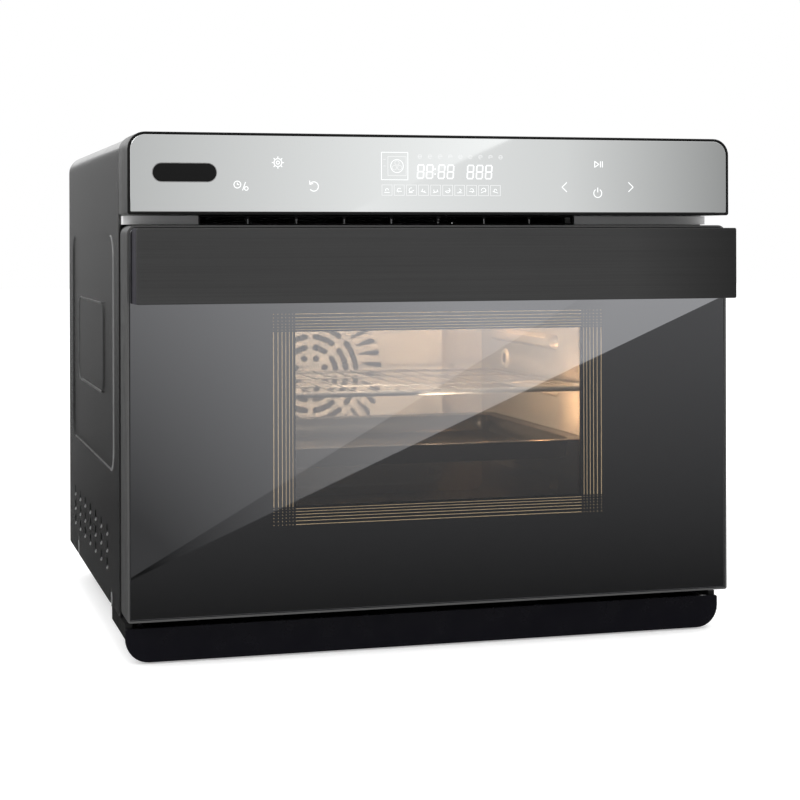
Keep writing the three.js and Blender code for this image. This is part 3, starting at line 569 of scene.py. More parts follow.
def cut_holes(mesh, cutter):
    """The mesh with another mesh's volume taken out of it."""
    tool = added("cutter", cutter)
    result = evaluated(mesh, [("BOOLEAN", {"operation": "DIFFERENCE", "object": tool, "solver": "EXACT"})])
    bpy.data.objects.remove(tool)
    return result


# ---- casing

def arch_profile(half, top, radius, side_steps, arc_steps=8, top_steps=6):
    """The casing's cross-section, from the left side's foot over the top to the right side's."""
    left = [(-half, z, -1.0, 0.0) for z in side_steps]
    inner = half - radius
    for i in range(1, arc_steps):
        angle = HALF_TURN - HALF_TURN / 2 * i / arc_steps
        left.append((*polar(-inner, top - radius, radius, angle), math.cos(angle), math.sin(angle)))
    across = [(x, top, 0.0, 1.0) for x in spread(-inner, inner, top_steps)]
    right = [(-x, z, -nx, nz) for x, z, nx, nz in reversed(left)]
    return left + across + right


def make_casing():
    half = CASING_HIGH.x
    front, back = CASING_LOW.y, CASING_HIGH.y
    bottom, top, radius = CASING_LOW.z, CASING_HIGH.z, 0.016
    outer = (front + 0.036, back - 0.036, 0.147, 0.346)
    inner = (front + 0.112, back - 0.096, 0.208, 0.287)
    outer_radius, inner_radius, slope = 0.02, 0.012, 0.0026
    press, dimple_press, dimple_radius, dimple_slope = 0.0012, 0.0007, 0.0062, 0.0016
    dimples = ((back - 0.081, 0.04), (front + 0.058, 0.037))
    fine, corner, coarse = 0.0012, 0.0028, 0.012
    outer_reach, inner_reach = 0.022, 0.014

    def zones(low, high, reach):
        return [
            (low - 0.003, low + 0.003, fine), (low + 0.003, low + reach, corner),
            (high - reach, high - 0.003, corner), (high - 0.003, high + 0.003, fine),
        ]

    marks_y = [(y - 0.009, y + 0.009, fine) for y, _ in dimples]
    zones_y = zones(*outer[:2], outer_reach) + zones(*inner[:2], inner_reach) + marks_y
    rows = spaced(front, back, coarse, zones_y)
    marks_z = [(bottom, 0.05, fine)]
    zones_z = zones(*outer[2:], outer_reach) + zones(*inner[2:], inner_reach) + marks_z
    heights = spaced(bottom, top - radius, coarse, zones_z)

    def relief(y, z, nx):
        if abs(nx) < 0.99:
            return 0.0
        sunk = step_up(box_distance(y, z, *outer, outer_radius), slope)
        raised = step_up(box_distance(y, z, *inner, inner_radius), slope)
        gaps = [abs(math.hypot(y - at_y, z - at_z) - dimple_radius) for at_y, at_z in dimples]
        dimple = max(step_up(dimple_slope - gap, dimple_slope) for gap in gaps)
        return press * (sunk - raised) + dimple_press * dimple

    sheet_thickness = 0.0015
    sheet = pressed_sheet(arch_profile(half, top, radius, heights), rows, relief, sheet_thickness)
    vent_start, vent_pitch, vent_radius = front + 0.085, 0.0443, 0.004
    vent_rows, vent_columns = (0.092, 0.0775, 0.063), 7
    vents = [(vent_start + vent_pitch * column, z) for z in vent_rows for column in range(vent_columns)]
    reach = half + 0.01
    holes = [slab([circle_loop(y, z, vent_radius, 20)], -reach, reach, "x", 0.0001, 0) for y, z in vents]
    sheet = cut_holes(sheet, merged(*holes))
    piece("casing_shell", sheet, CASING_PAINT, ["outer_casing"])

    quarter = 9     # points on each rounded corner of a loop
    outer_loop = rounded_loop(*outer, outer_radius, None, quarter - 1)
    inner_loop = rounded_loop(*inner, inner_radius, None, quarter - 1)

    def wire(points, depth, thickness, sides=2):
        """A thin line on one side of the casing, sunk by a depth."""
        return tube([(side * (half - depth), y, z) for y, z in points], thickness, False, sides)

    highlight_beads, faint, rim_highlights, hole_shade_discs = [], [], [], []
    for side in (-1, 1):
        # A light line along the outer emboss's front edge: painted highlight
        highlight_beads.append(wire(outer_loop[2 * quarter:], 0.0001, 0.0008))
        # Faint light lines along the outer bottom edge and the inner back and bottom edges: painted faint
        # highlights
        faint.append(wire((outer_loop[-1], outer_loop[0]), 0.0004, 0.0006))
        faint.append(wire(inner_loop[:2 * quarter + 1], 0.0001, 0.0006))
        faint.append(wire((inner_loop[-1], inner_loop[0]), 0.0004, 0.0011))
        for y, z in vents:
            # A light arc on the lower rim of each vent hole: painted highlight
            rim_highlights.append(wire(arc_line(y, z - 0.001, 0.0038, 195, 300, 8), 0.0002, 0.0007, 1))
            # A near-black disc in each vent hole: painted shade for the dark inside the casing
            ends = sorted((side * (half - 0.0016), side * (half + 0.00012)))
            disc = circle_loop(y + 0.0002, z + 0.002, 0.0031, 20)
            hole_shade_discs.append(slab([disc], *ends, "x", 0.0001, 0))
        for y, z in dimples:
            # A light arc on the front of each dimple: painted highlight
            rim_highlights.append(wire(arc_line(y, z, dimple_radius, 110, 250, 12), 0.0, 0.0004, 1))
    for name, parts, paint in (
        ("casing_highlight_beads", highlight_beads, PAINTED_EDGE_HIGHLIGHT), ("casing_faint_highlight_beads", faint, PAINTED_FAINT_HIGHLIGHT),
        ("vent_rim_highlights", rim_highlights, PAINTED_RIM_HIGHLIGHT), ("vent_hole_shade_discs", hole_shade_discs, PAINTED_HOLE_SHADE),
    ):
        piece(name, merged(*parts), paint)


def make_back_panel():
    low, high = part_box("back_panel")
    outline = face_loop(low, high, 0.0, 0.002, 0.014)
    louvres, hoods = [], []
    field_x, field_z, louvre_pitch, louvre_half, louvre_height = 0.11, 0.3, 0.012, 0.06, 0.004
    for side in (-1, 1):
        for i in range(8):
            x, z = side * field_x, field_z + louvre_pitch * i
            louvres.append(rounded_loop(x - louvre_half, x + louvre_half, z, z + louvre_height, 0.0018))
            hood = []
            for half, low_out, high_out, rise, crest in (
                (0.061, 0.0, 0.0, 0.003, 0.0075), (0.058, 0.0025, 0.0015, 0.002, 0.006),
            ):
                foot, crown = (high.y + low_out, z + rise), (high.y + high_out, z + crest)
                hood.append([(x - half, *foot), (x + half, *foot), (x + half, *crown), (x - half, *crown)])
            hoods.append(loft(hood))
    middle = centre("cord_gland")
    louvres.append(circle_loop(middle.x, middle.z, 0.009))
    sheet = merged(slab([outline] + louvres, low.y, high.y, "y", 0.0003), *hoods)
    piece("rear_cover", sheet, STEEL, ["back_panel"])
    screws = []
    for x in (-0.235, 0.0, 0.235):
        for z in (0.055, 0.4):
            screw = [(0, -0.0014), (0.0028, -0.0012), (0.0038, 0.0), (0.0038, 0.0004)]
            screws.append(turned(screw, (x, high.y, z), "y", 20))
    piece("rear_screws", merged(*screws), STEEL)
    profile = [
        (0.004, 0.0), (0.01, 0.0), (0.0125, 0.0012), (0.013, 0.006), (0.0115, 0.0065),
        (0.0115, 0.007), (0.009, 0.0072), (0.009, 0.012), (0.004, 0.012),
    ]
    collar = turned(profile, (middle.x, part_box("cord_gland")[1].y, middle.z), "y", 32)
    piece("cord_bushing", collar, RUBBER, ["cord_gland"])


def make_feet():
    for name in pairs("foot_front", "foot_rear"):
        top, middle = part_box(name)[1].z, centre(name)
        profile = [
            (0, 0), (0.01, 0), (0.0105, 0.001), (0.0125, 0.001), (0.0135, 0.0004), (0.0148, 0.0018),
            (0.016, 0.018), (0.017, 0.029), (0.017, top), (0, top),
        ]
        piece(name + "_pad", turned(profile, (middle.x, middle.y, 0)), RUBBER, [name])


# ---- control head

def strokes(lines, width, front, thickness=0.00012):
    """Flat printed lines on a face that looks to -Y."""
    work = bmesh.new()
    half = width / 2
    for line in lines:
        for (x0, z0), (x1, z1) in zip(line, line[1:]):
            along = Vector((x1 - x0, z1 - z0))
            if along.length < 1e-7:
                continue
            along.normalize()
            side = Vector((-along.y, along.x)) * half
            ends = along * half * 0.5
            corners = [
                (x0 - ends.x + side.x, z0 - ends.y + side.y), (x0 - ends.x - side.x, z0 - ends.y - side.y),
                (x1 + ends.x - side.x, z1 + ends.y - side.y), (x1 + ends.x + side.x, z1 + ends.y + side.y),
            ]
            faces = [[work.verts.new((x, y, z)) for x, z in corners] for y in (front, front - thickness)]
            work.faces.new(faces[1][::-1])
            work.faces.new(faces[0])
            for i in range(4):
                j = (i + 1) % 4
                work.faces.new((faces[0][i], faces[0][j], faces[1][j], faces[1][i]))
    bmesh.ops.recalc_face_normals(work, faces=work.faces)
    return taken(work, "strokes")


def arc_line(x, z, radius, start, end, steps=14):
    """Part of a circle as a line; angles are in degrees from +X."""
    return [polar(x, z, radius, math.radians(angle)) for angle in spread(start, end, steps)]


def box_line(x, z, half_x, half_z):
    return [
        (x - half_x, z - half_z), (x + half_x, z - half_z), (x + half_x, z + half_z),
        (x - half_x, z + half_z), (x - half_x, z - half_z),
    ]


# The seven bars of a digit, in units of its width and height
SEGMENTS = (
    ((0, 1), (1, 1)), ((0, 0.5), (0, 1)), ((1, 0.5), (1, 1)), ((0, 0.5), (1, 0.5)),
    ((0, 0), (0, 0.5)), ((1, 0), (1, 0.5)), ((0, 0), (1, 0)),
)


def digit_lines(x, z, width, height):
    """A figure eight of seven straight bars that leans a little."""
    lines = []
    inset, lean = 0.1, 0.06
    for (u0, v0), (u1, v1) in SEGMENTS:
        du, dv = (u1 - u0) * inset, (v1 - v0) * inset * 1.4
        ends = (u0 + du, v0 + dv), (u1 - du, v1 - dv)
        lines.append([(x + u * width + v * height * lean, z + v * height) for u, v in ends])
    return lines


def make_control_head():
    rim, grow = 0.0018, 0.0007
    front = HEAD_LOW.y

    def inset(step, lower, upper):
        return face_loop(HEAD_LOW, HEAD_HIGH, step, lower, upper, 8)

    outline = inset(0.0, 0.002, 0.014)
    collar = slab([outline, inset(0.003, 0.001, 0.011)], front + 0.0022, HEAD_HIGH.y, "y", 0.0006, 3)
    opening = rounded_loop(-0.07, 0.07, 0.372, 0.424, 0.002)
    web = slab([inset(0.0025, 0.001, 0.0115), opening], front + 0.0033, front + 0.0055, "y", 0.0003)
    piece("control_shell", merged(collar, web), TRIM, ["control_housing"])
    bezel = slab([outline, inset(rim, 0.001, 0.0122)], front, front + 0.0024, "y", 0.0005, 3)
    piece("control_bezel", bezel, BLACK)
    face = slab([inset(rim + 0.0003, 0.0008, 0.0119)], front + 0.0004, front + 0.003, "y", 0.0004)
    piece("control_mirror", face, MIRROR, ["control_glass"])

    low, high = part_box("badge")
    radius = (high.z - low.z) / 2 - 0.0001
    pill = face_loop(low, high, 0.0, radius, radius, 12)
    piece("blank_badge", slab([pill], low.y, high.y, "y", 0.00025), BLACK, ["badge"])
    halo = face_loop(low, high, -grow, radius + grow, radius + grow, 12)
    ring = slab([halo, pill], front + 0.0001, front + 0.0005, "y", 0.0001)
    piece("badge_rim", ring, WIRE)
    make_icons(front + 0.0004)


def make_icons(front):
    """Generic pictograms and an all-eights display, printed on the control glass."""
    fine, bold = 0.0006, 0.0011
    thick = []

    def ring(x, z, radius, steps):
        return arc_line(x, z, radius, 0, 360, steps)

    # Gear
    gear_x, gear_z = -0.1385, 0.4047
    thick.append(ring(gear_x, gear_z, 0.0032, 20))
    for tooth in range(8):
        angle = math.radians(45 * tooth)
        thick.append([polar(gear_x, gear_z, radius, angle) for radius in (0.0032, 0.0048)])
    thick.append(ring(gear_x, gear_z, 0.0013, 12))
    # Clock and thermometer
    thick.append(ring(-0.1718, 0.3867, 0.0028, 18))
    thick.append([(-0.1718, 0.3881), (-0.1718, 0.3867), (-0.1705, 0.3867)])
    thick += [[(-0.1675, 0.3822), (-0.1652, 0.3886)], ring(-0.1645, 0.3836, 0.0015, 10)]
    # Turn-back arrow
    thick.append(arc_line(-0.1087, 0.3855, 0.0038, 150, -140, 18))
    thick.append([(-0.1122, 0.3901), (-0.112, 0.3872), (-0.1095, 0.3879)])
    # Play and pause
    thick.append([(0.136, 0.4032), (0.136, 0.4082), (0.1398, 0.4057), (0.136, 0.4032)])
    thick += [[(0.1412, 0.4033), (0.1412, 0.4081)], [(0.143, 0.4033), (0.143, 0.4081)]]
    # Power
    thick += [arc_line(0.1387, 0.3811, 0.0036, 125, 415, 20), [(0.1387, 0.382), (0.1387, 0.3858)]]
    # Arrows to the left and the right
    thick.append([(0.1106, 0.39), (0.1064, 0.3861), (0.1106, 0.3822)])
    thick.append([(0.1669, 0.3904), (0.1711, 0.3865), (0.1669, 0.3826)])
    # Oven pictogram
    oven_x, oven_z = -0.0384, 0.4027
    glyphs = [box_line(oven_x - 0.002, oven_z, 0.0113, 0.0113)]
    faint = [box_line(oven_x, oven_z, 0.0078, 0.0078)]
    glyphs.append(ring(oven_x, oven_z, 0.0054, 22))
    for blade in range(3):
        hub = polar(oven_x, oven_z, 0.0026, math.radians(90 + 120 * blade))
        faint.append(ring(*hub, 0.0019, 10))
    faint += [[(-0.0499, 0.4082), (-0.0482, 0.4082)], [(-0.0499, 0.4027), (-0.0482, 0.4027)]]
    # Mode row and the status row above the digits
    mode_z, status_z = 0.3829, 0.4108
    for i in range(10):
        x = -0.047 + 0.01045 * i
        faint.append(box_line(x, mode_z, 0.0043, 0.0043))
        glyphs.append(arc_line(x, mode_z, 0.0012 + 0.0004 * (i % 3), 40 * i, 40 * i + 220, 8))
        glyphs.append([(x - 0.0022, 0.3809 + 0.0012 * (i % 2)), (x + 0.0022, 0.3809 + 0.001 * (i % 3))])
    for i in range(9):
        x = -0.0188 + 0.0088 * i
        faint.append(arc_line(x, status_z, 0.0016, 0, 360 - 45 * (i % 4), 8))
        faint.append([(x - 0.0014, status_z), (x + 0.0014, status_z)])
    digits = []
    for x in (-0.021, -0.0132, -0.003, 0.0048, 0.0222, 0.0302, 0.0382):
        digits += digit_lines(x, 0.3928, 0.0052, 0.011)
    digits += [[(-0.0056, 0.396), (-0.0056, 0.3966)], [(-0.0056, 0.4002), (-0.0056, 0.4008)]]
    icons = merged(
        strokes(thick, bold * 0.65, front), strokes(glyphs, fine * 0.8, front), strokes(digits, bold, front),
    )
    piece("control_print", icons, PAINTED_GLOW_PRINT)
    piece("control_fine_print", strokes(faint, fine * 0.7, front), PAINTED_GLOW_FINE_PRINT)


# ---- front strip and frame

def make_front_strip():
    low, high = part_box("vent_grille")
    count = 8
    pitch = (high.x - low.x) / count
    tick_top = low.z + 0.65 * (high.z - low.z)
    holes, ticks = [], []
    for i in range(count):
        x = low.x + pitch * i
        holes.append(rounded_loop(x + 0.0015, x + pitch - 0.0015, low.z + 0.001, high.z - 0.001, 0.0008))
        if i > 0:
            tick = rounded_loop(x - 0.0005, x + 0.0005, low.z + 0.0006, tick_top, 0.0002)
            ticks.append(slab([tick], low.y - 0.0002, low.y + 0.002, "y", 0.0001))
    # Light chrome on the lower part of each grille bar: painted highlight
    piece("vent_ticks", merged(*ticks), PAINTED_HIGHLIGHT_CHROME)
    bars = slab([face_loop(low, high, 0.0, 0.0006)] + holes, low.y, high.y, "y", 0.0003)
    piece("vent_bars", bars, BLACK, ["vent_grille"])


# ---- door

def make_door():
    low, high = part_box("door_outer_glass")
    pane = slab([face_loop(low, high, 0.0, 0.0008, 0.0056)], low.y, high.y, "y", 0.0007, 3)
    piece("door_front_pane", pane, DOOR_GLASS, ["door_outer_glass"], "door")
    low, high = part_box("door_inner_glass")
    inner = slab([face_loop(low, high, 0.0, 0.003)], low.y, high.y, "y", 0.0005)
    piece("door_back_pane", inner, INNER_GLASS, ["door_inner_glass"], "door")

    low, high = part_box("handle_plate")
    bar = slab([face_loop(low, high, 0.0, 0.0015, 0.0015, 5)], low.y, high.y, "y", 0.0009, 4)
    piece("handle_bar", bar, HANDLE, ["handle_plate"], "door")
    for name in pairs("handle_bracket"):
        low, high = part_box(name)
        cheek = slab([rounded_loop(low.y, high.y, low.z, high.z, 0.0012)], low.x, high.x, "x", 0.0006, 3)
        piece(name + "_cheek", cheek, HANDLE_SIDE, [name], "door")


# ---- cavity

def liner_profile(side_steps, steps=5, across=8):
    """The cavity's cross-section all the way round; its normals look away from the cavity."""
    half, radius = CAVITY_HALF, CAVITY_RADIUS
    low, high = CAVITY_FLOOR, CAVITY_CEILING
    inner = half - radius
    ring = [(x, low, 0.0, -1.0) for x in spread(-inner, inner, across)]

    def corner(x, z, start):
        for i in range(1, steps):
            angle = start + HALF_TURN / 2 * i / steps
            ring.append((*polar(x, z, radius, angle), math.cos(angle), math.sin(angle)))

    corner(inner, low + radius, -HALF_TURN / 2)
    ring += [(half, z, 1.0, 0.0) for z in side_steps]
    corner(inner, high - radius, 0.0)
    ring += [(x, high, 0.0, 1.0) for x in spread(inner, -inner, across)]
    corner(-inner, high - radius, HALF_TURN / 2)
    ring += [(-half, z, -1.0, 0.0) for z in reversed(side_steps)]
    corner(-inner, low + radius, HALF_TURN)
    ring.append(ring[0])
    return ring


def rail_relief(y, z, nx):
    """Shelf rails pressed into both side walls."""
    if abs(nx) < 0.99:
        return 0.0
    depth = 0.0
    for top in RAIL_TOPS:
        inside = box_distance(y, z, RAIL_FRONT, RAIL_BACK, top - RAIL_HEIGHT, top, 0.006)
        depth = max(depth, step_up(inside - 0.002, 0.0042))
    return RAIL_REACH * depth


def make_cavity():
    z_zones = [(top - RAIL_HEIGHT - 0.002, top + 0.002, 0.0011) for top in RAIL_TOPS]
    heights = spaced(CAVITY_FLOOR + CAVITY_RADIUS, CAVITY_CEILING - CAVITY_RADIUS, 0.01, z_zones)
    y_zones = [
        (RAIL_FRONT - 0.002, RAIL_FRONT + 0.01, 0.0012), (RAIL_BACK - 0.01, RAIL_BACK + 0.002, 0.0012),
    ]
    rows = spaced(CAVITY_FRONT, CAVITY_BACK, 0.02, y_zones)
    walls = pressed_sheet(liner_profile(heights), rows, rail_relief, -SHEET)
    openings = []
    wall_in, wall_out = CAVITY_HALF - 0.005, CAVITY_HALF + 0.008
    for name, radius, steps in (("lamp_socket", 0.022, 32), ("cavity_sensor", 0.0075, 24)):
        middle = centre(name)
        hole = circle_loop(middle.y, middle.z, radius, steps)
        openings.append(slab([hole], wall_in, wall_out, "x", 0.0001, 0))
    walls = cut_holes(walls, merged(*openings))

    def section(grow, radius):
        """The cavity seen from the front, grown by a margin."""
        reach = CAVITY_HALF + grow
        return rounded_loop(-reach, reach, CAVITY_FLOOR - grow, CAVITY_CEILING + grow, radius)

    shaft_hole = circle_loop(FAN_CENTRE.x, FAN_CENTRE.z, 0.006)
    back = slab([section(0.001, 0.013), shaft_hole], CAVITY_BACK, CAVITY_BACK + SHEET, "y", 0.0002)
    border = [face_loop(LINER_LOW, LINER_HIGH, 0.0, 0.014), section(0.0, CAVITY_RADIUS)]
    flange = slab(border, CAVITY_FRONT, CAVITY_FRONT + SHEET, "y", 0.0003)
    piece("cavity_shell", merged(walls, back, flange), CAVITY, ["cavity_liner"])
    head = [(0, -0.0016), (0.0022, -0.0014), (0.0034, -0.0004), (0.0036, 0.0004)]
    screw = turned(head, (0.135, CAVITY_BACK, 0.208), "y", 20)
    head = [(0.003, -0.0006), (0.0028, 0.0006), (0.0018, 0.0012), (0, 0.0013)]
    side_screw = turned(head, (CAVITY_HALF, 0.0586, 0.221), "x", 20)
    side_screw.transform(Matrix.Translation((2 * CAVITY_HALF, 0, 0)) @ Matrix.Scale(-1, 4, (1, 0, 0)))
    side_screw.flip_normals()
    piece("cavity_screws", merged(screw, side_screw), WIRE)


def round_fan(radius, angle):
    """A point seen from the front, at a radius and an angle about the fan's axis."""
    return polar(FAN_CENTRE.x, FAN_CENTRE.z, radius, angle)


def arc_slot(radius, width, middle, sweep, steps=8):
    """A slot with round ends that follows a circle round the fan's axis."""
    half = width / 2
    start, end = middle - sweep / 2, middle + sweep / 2

    def cap(angle, first):
        """The round end at an angle, without its first and last points."""
        return [polar(*round_fan(radius, angle), half, first + HALF_TURN * i / 6) for i in range(1, 6)]

    outside = [round_fan(radius + half, angle) for angle in spread(start, end, steps)]
    inside = [round_fan(radius - half, angle) for angle in spread(end, start, steps)]
    return outside + cap(end, end) + inside + cap(start, start + HALF_TURN)


def radial_slot(angle, inner=0.056, outer=0.076, swirl=-0.075):
    """A tapered slot that points outwards, leaning a little, with a round outer end."""
    def at(r, side):
        lean = angle + swirl * (r - inner) / (outer - inner)
        x = FAN_CENTRE.x + r * math.cos(lean) - side * math.sin(lean)
        z = FAN_CENTRE.z + r * math.sin(lean) + side * math.cos(lean)
        return (x, z)

    narrow, wide = 0.0012, 0.0029
    loop = [at(inner, -narrow), at(outer - wide, -wide)]
    for i in range(1, 6):
        a = -HALF_TURN / 2 + HALF_TURN * i / 6
        loop.append(at(outer - wide + wide * math.cos(a), wide * math.sin(a)))
    loop += [at(outer - wide, wide), at(inner, narrow)]
    return loop


def make_fan_cover():
    low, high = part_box("fan_cover")
    outline = face_loop(low, high, 0.0, 0.014)
    loops = [outline]
    for i in range(8):
        middle = HALF_TURN / 8 + HALF_TURN / 4 * i
        loops.append(circle_loop(*round_fan(0.0165, middle), 0.0034, 16))
        for radius in (0.027, 0.038, 0.0485):
            loops.append(arc_slot(radius, 0.0058, middle, HALF_TURN / 4 - 0.0102 / radius))
    slots = 36
    for i in range(slots):
        loops.append(radial_slot(2 * HALF_TURN * i / slots))
    plate = slab(loops, low.y, low.y + SHEET, "y", 0.0003, 2)
    skirt = slab([outline, face_loop(low, high, SHEET, 0.013)], low.y + SHEET / 2, high.y, "y", 0.0003)
    # A light band round the cover's front edge: painted highlight on its fold
    fold_loops = [outline, face_loop(low, high, 0.0022, 0.0118)]
    fold = slab(fold_loops, low.y - 0.0002, low.y + 0.0003, "y", 0.0001)
    piece("fan_guard_fold_highlight", fold, PAINTED_HIGHLIGHT_CHROME)
    screws = []
    head = [(0, 0.0016), (0.002, 0.0014), (0.0032, 0.0004), (0.0034, 0.0)]
    for x in (low.x + 0.012, high.x - 0.012):
        for z in (low.z + 0.012, high.z - 0.012):
            screws.append(turned(head, (x, low.y, z), "y", 20))
    piece("fan_guard", merged(plate, skirt), COVER, ["fan_cover"])
    piece("fan_guard_screws", merged(*screws), WIRE)


def make_fan():
    low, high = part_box("convection_fan")
    radius = (high.x - low.x) / 2
    tip = radius - 0.001
    # A blade's outline as (radius, lean in radians): out along one face and back along the other
    outline = (
        (0.012, 0.0), (0.028, 0.1), (0.044, 0.24), (tip, 0.42),
        (tip, 0.44), (0.044, 0.265), (0.028, 0.14), (0.012, 0.09),
    )
    blades = []
    for i in range(12):
        points = [round_fan(r, 2 * HALF_TURN * i / 12 + lean) for r, lean in outline]
        blades.append(loft([[(x, y, z) for x, z in points] for y in (low.y, high.y - 0.001)]))
    bore, rim, boss = [
        circle_loop(FAN_CENTRE.x, FAN_CENTRE.z, size, steps)
        for size, steps in ((0.0036, 24), (radius, 64), (0.011, 32))
    ]
    disc = slab([rim, bore], high.y - 0.0014, high.y, "y", 0.0004)
    hub = slab([boss, bore], low.y, high.y - 0.001, "y", 0.0006)
    wheel = merged(disc, hub, *blades)
    piece("fan_wheel", wheel, FAN_PAINTED_SHADE_STEEL, ["convection_fan"], "convection_rotor")


def make_rack():
    low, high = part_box("wire_rack")
    z = low.z + 0.0025
    side = 0.165
    rim = 0.0025
    elbow = low.y + 0.04

    def rail(y):
        return bent([(-side, elbow, z), (-side, y, z), (side, y, z), (side, elbow, z)], 0.01)

    front = tube(rail(low.y + rim), rim, False, 4)
    # The front rail in lighter metal than the rest of the rack: painted highlight
    piece("rack_front_rail", front, PAINTED_HIGHLIGHT_CHROME)
    rest = rail(high.y - rim)
    wires = [tube(rest, 0.0015, False, 4)]
    cross_bars, bar_radius, wire_radius = (low.y + 0.09, high.y - 0.08), 0.001, 0.0006
    for y in cross_bars:
        wires.append(tube([(-side, y, z), (side, y, z)], bar_radius, False, 4))
    count = 16
    pitch = 2 * side / (count + 1)
    for i in range(1, count + 1):
        x = pitch * i - side
        lifted = z + bar_radius
        wires.append(tube([(x, low.y + 0.002, lifted), (x, high.y - 0.002, lifted)], wire_radius, False, 3))
    piece("rack_wires", merged(*wires), WIRE, ["wire_rack"])


def make_tray():
    low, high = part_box("baking_tray")
    middle_y = (low.y + high.y) / 2
    half_x, half_y = high.x, (high.y - low.y) / 2

    def ring(inset, z, radius):
        loop = rounded_loop(inset - half_x, half_x - inset, inset - half_y, half_y - inset, radius, radius, 6)
        return [(x, middle_y + y, z) for x, y in loop]

    rim = high.z - 0.0003
    floor = low.z
    rings = [ring(inset, base + rise, radius) for inset, base, rise, radius in (
        (0.02, floor, 0.0004, 0.008), (0.0165, floor, 0.0018, 0.01), (0.014, rim, -0.0035, 0.014),
        (0.0128, rim, -0.0012, 0.015), (0.01, rim, -0.0006, 0.017), (0.0022, rim, -0.0004, 0.014),
        (0.0004, rim, -0.0012, 0.0145), (0.0, rim, -0.0002, 0.015), (0.0008, rim, 0.0003, 0.0145),
        (0.01, rim, 0.0003, 0.017), (0.0136, rim, -0.0003, 0.015), (0.015, rim, -0.0025, 0.014),
        (0.0176, floor, 0.0032, 0.01), (0.0215, floor, 0.0016, 0.007),
    )]
    piece("tray_pan", loft(rings), ENAMEL, ["baking_tray"])
    # Light lines along the tray's lower and upper folds: painted highlights
    lower_fold_highlight = tube(ring(0.0184, floor + 0.001, 0.009), 0.0005, True, 3)
    upper_fold_highlight = tube(ring(0.0006, rim, 0.0144), 0.0006, True, 3)
    piece("tray_fold_highlights", merged(lower_fold_highlight, upper_fold_highlight), PAINTED_EDGE_HIGHLIGHT)


def make_lamp_and_port():
    _, y, z = centre("lamp_cover")
    wall = CAVITY_HALF
    dome = [
        (0.0215, 0.0), (0.026, 0.0), (0.026, -0.003), (0.0235, -0.012), (0.018, -0.0185), (0.01, -0.0213),
        (0, -0.0217), (0, -0.0197), (0.0095, -0.0192), (0.0168, -0.0168), (0.0218, -0.011), (0.0235, -0.003),
    ]
    glass = turned(dome, (wall - 0.0003, y, z), "x", 48)
    piece("lamp_dome", glass, LENS, ["lamp_cover"])
    hoop = [circle_loop(y, z, 0.0275, 40), circle_loop(y, z, 0.0262, 40)]
    collar = slab(hoop, wall - 0.005, wall - 0.0002, "x", 0.0003)
    piece("lamp_collar", collar, WIRE)
    bulb = [
        (0, -0.015), (0.004, -0.0142), (0.0078, -0.0105), (0.009, -0.006),
        (0.0085, -0.001), (0.006, 0.0014), (0, 0.0016),
    ]
    piece("lamp_capsule", turned(bulb, (wall, y, z), "x", 32), FILAMENT, ["lamp_bulb"])

    _, y, z = centre("cavity_sensor")
    sleeve = [
        (0.0055, 0.006), (0.0055, -0.0036), (0.0062, -0.004), (0.0078, -0.004), (0.0092, -0.0034),
        (0.01, -0.002), (0.01, -0.0003), (0.007, -0.0003), (0.007, 0.014),
        (0.003, 0.014), (0.003, 0.006),
    ]
    port_mesh = turned(sleeve, (wall, y, z), "x", 40, False)
    piece("wall_port", port_mesh, CERAMIC, ["cavity_sensor"])
    plug = slab([circle_loop(y, z, 0.0053, 24)], wall - 0.0034, wall + 0.0058, "x", 0.0003)
    piece("wall_port_core", plug, RUBBER)


def make_seal():
    low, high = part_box("door_seal")
    loops = [face_loop(low, high, 0.0, 0.016), face_loop(low, high, 0.009, 0.01)]
    piece("door_gasket", slab(loops, low.y, high.y, "y", 0.003, 5), RUBBER, ["door_seal"])


# ---- nodes that keep their CAD shape

KEPT_BEVELS = {
    0.0004: ["door_liner", "front_frame", "base_plate", *pairs("hinge_arm", "hinge_body")],
    0.0005: ["door_frame", "display_module"],
    0.0006: pairs("filler"),
    0.0008: ["cooling_motor", "fan_motor"],
    0.0009: ["drip_tray"],
}


# Sheet painted near black as painted shade, for parts that only show through gaps
PAINTED_SHADE_NODES = [
    "cooling_duct", "blower_shroud", "base_plate", "front_frame",
    *pairs("hinge_arm", "hinge_body", "hinge_spring", "hinge_pin", "tray_rail"),
]


def dress_cad_nodes():
    slots = {entry["node"]: entry["material_slot"] for entry in frame["record"]["subparts"]}
    for name, node in frame["nodes"].items():
        node.data.materials.clear()
        finish = CAD_FINISHES[slots[name]]
        # Painted shade: near-black paint on parts seen only through gaps
        if name in PAINTED_SHADE_NODES:
            finish = PAINTED_SHADE_STEEL
        elif name.startswith("filler"):
            finish = STRIP
        node.data.materials.append(finish)
        smooth(node.data)
    for width, names in KEPT_BEVELS.items():
        for name in names:
            modifier = frame["nodes"][name].modifiers.new("edges", "BEVEL")
            modifier.width = width
            modifier.segments = 2
            modifier.limit_method = "ANGLE"
            modifier.angle_limit = math.radians(40)


# ---- studio

# A level camera with a raised lens, as its parallel uprights need
CAMERA_SPOT = Vector((-0.4489, -1.6871, 0.3402))
CAMERA_YAW = 0.27444
CAMERA_ROLL = -0.0027
CAMERA_LENS = 83.17
CAMERA_SHIFT = -0.1976


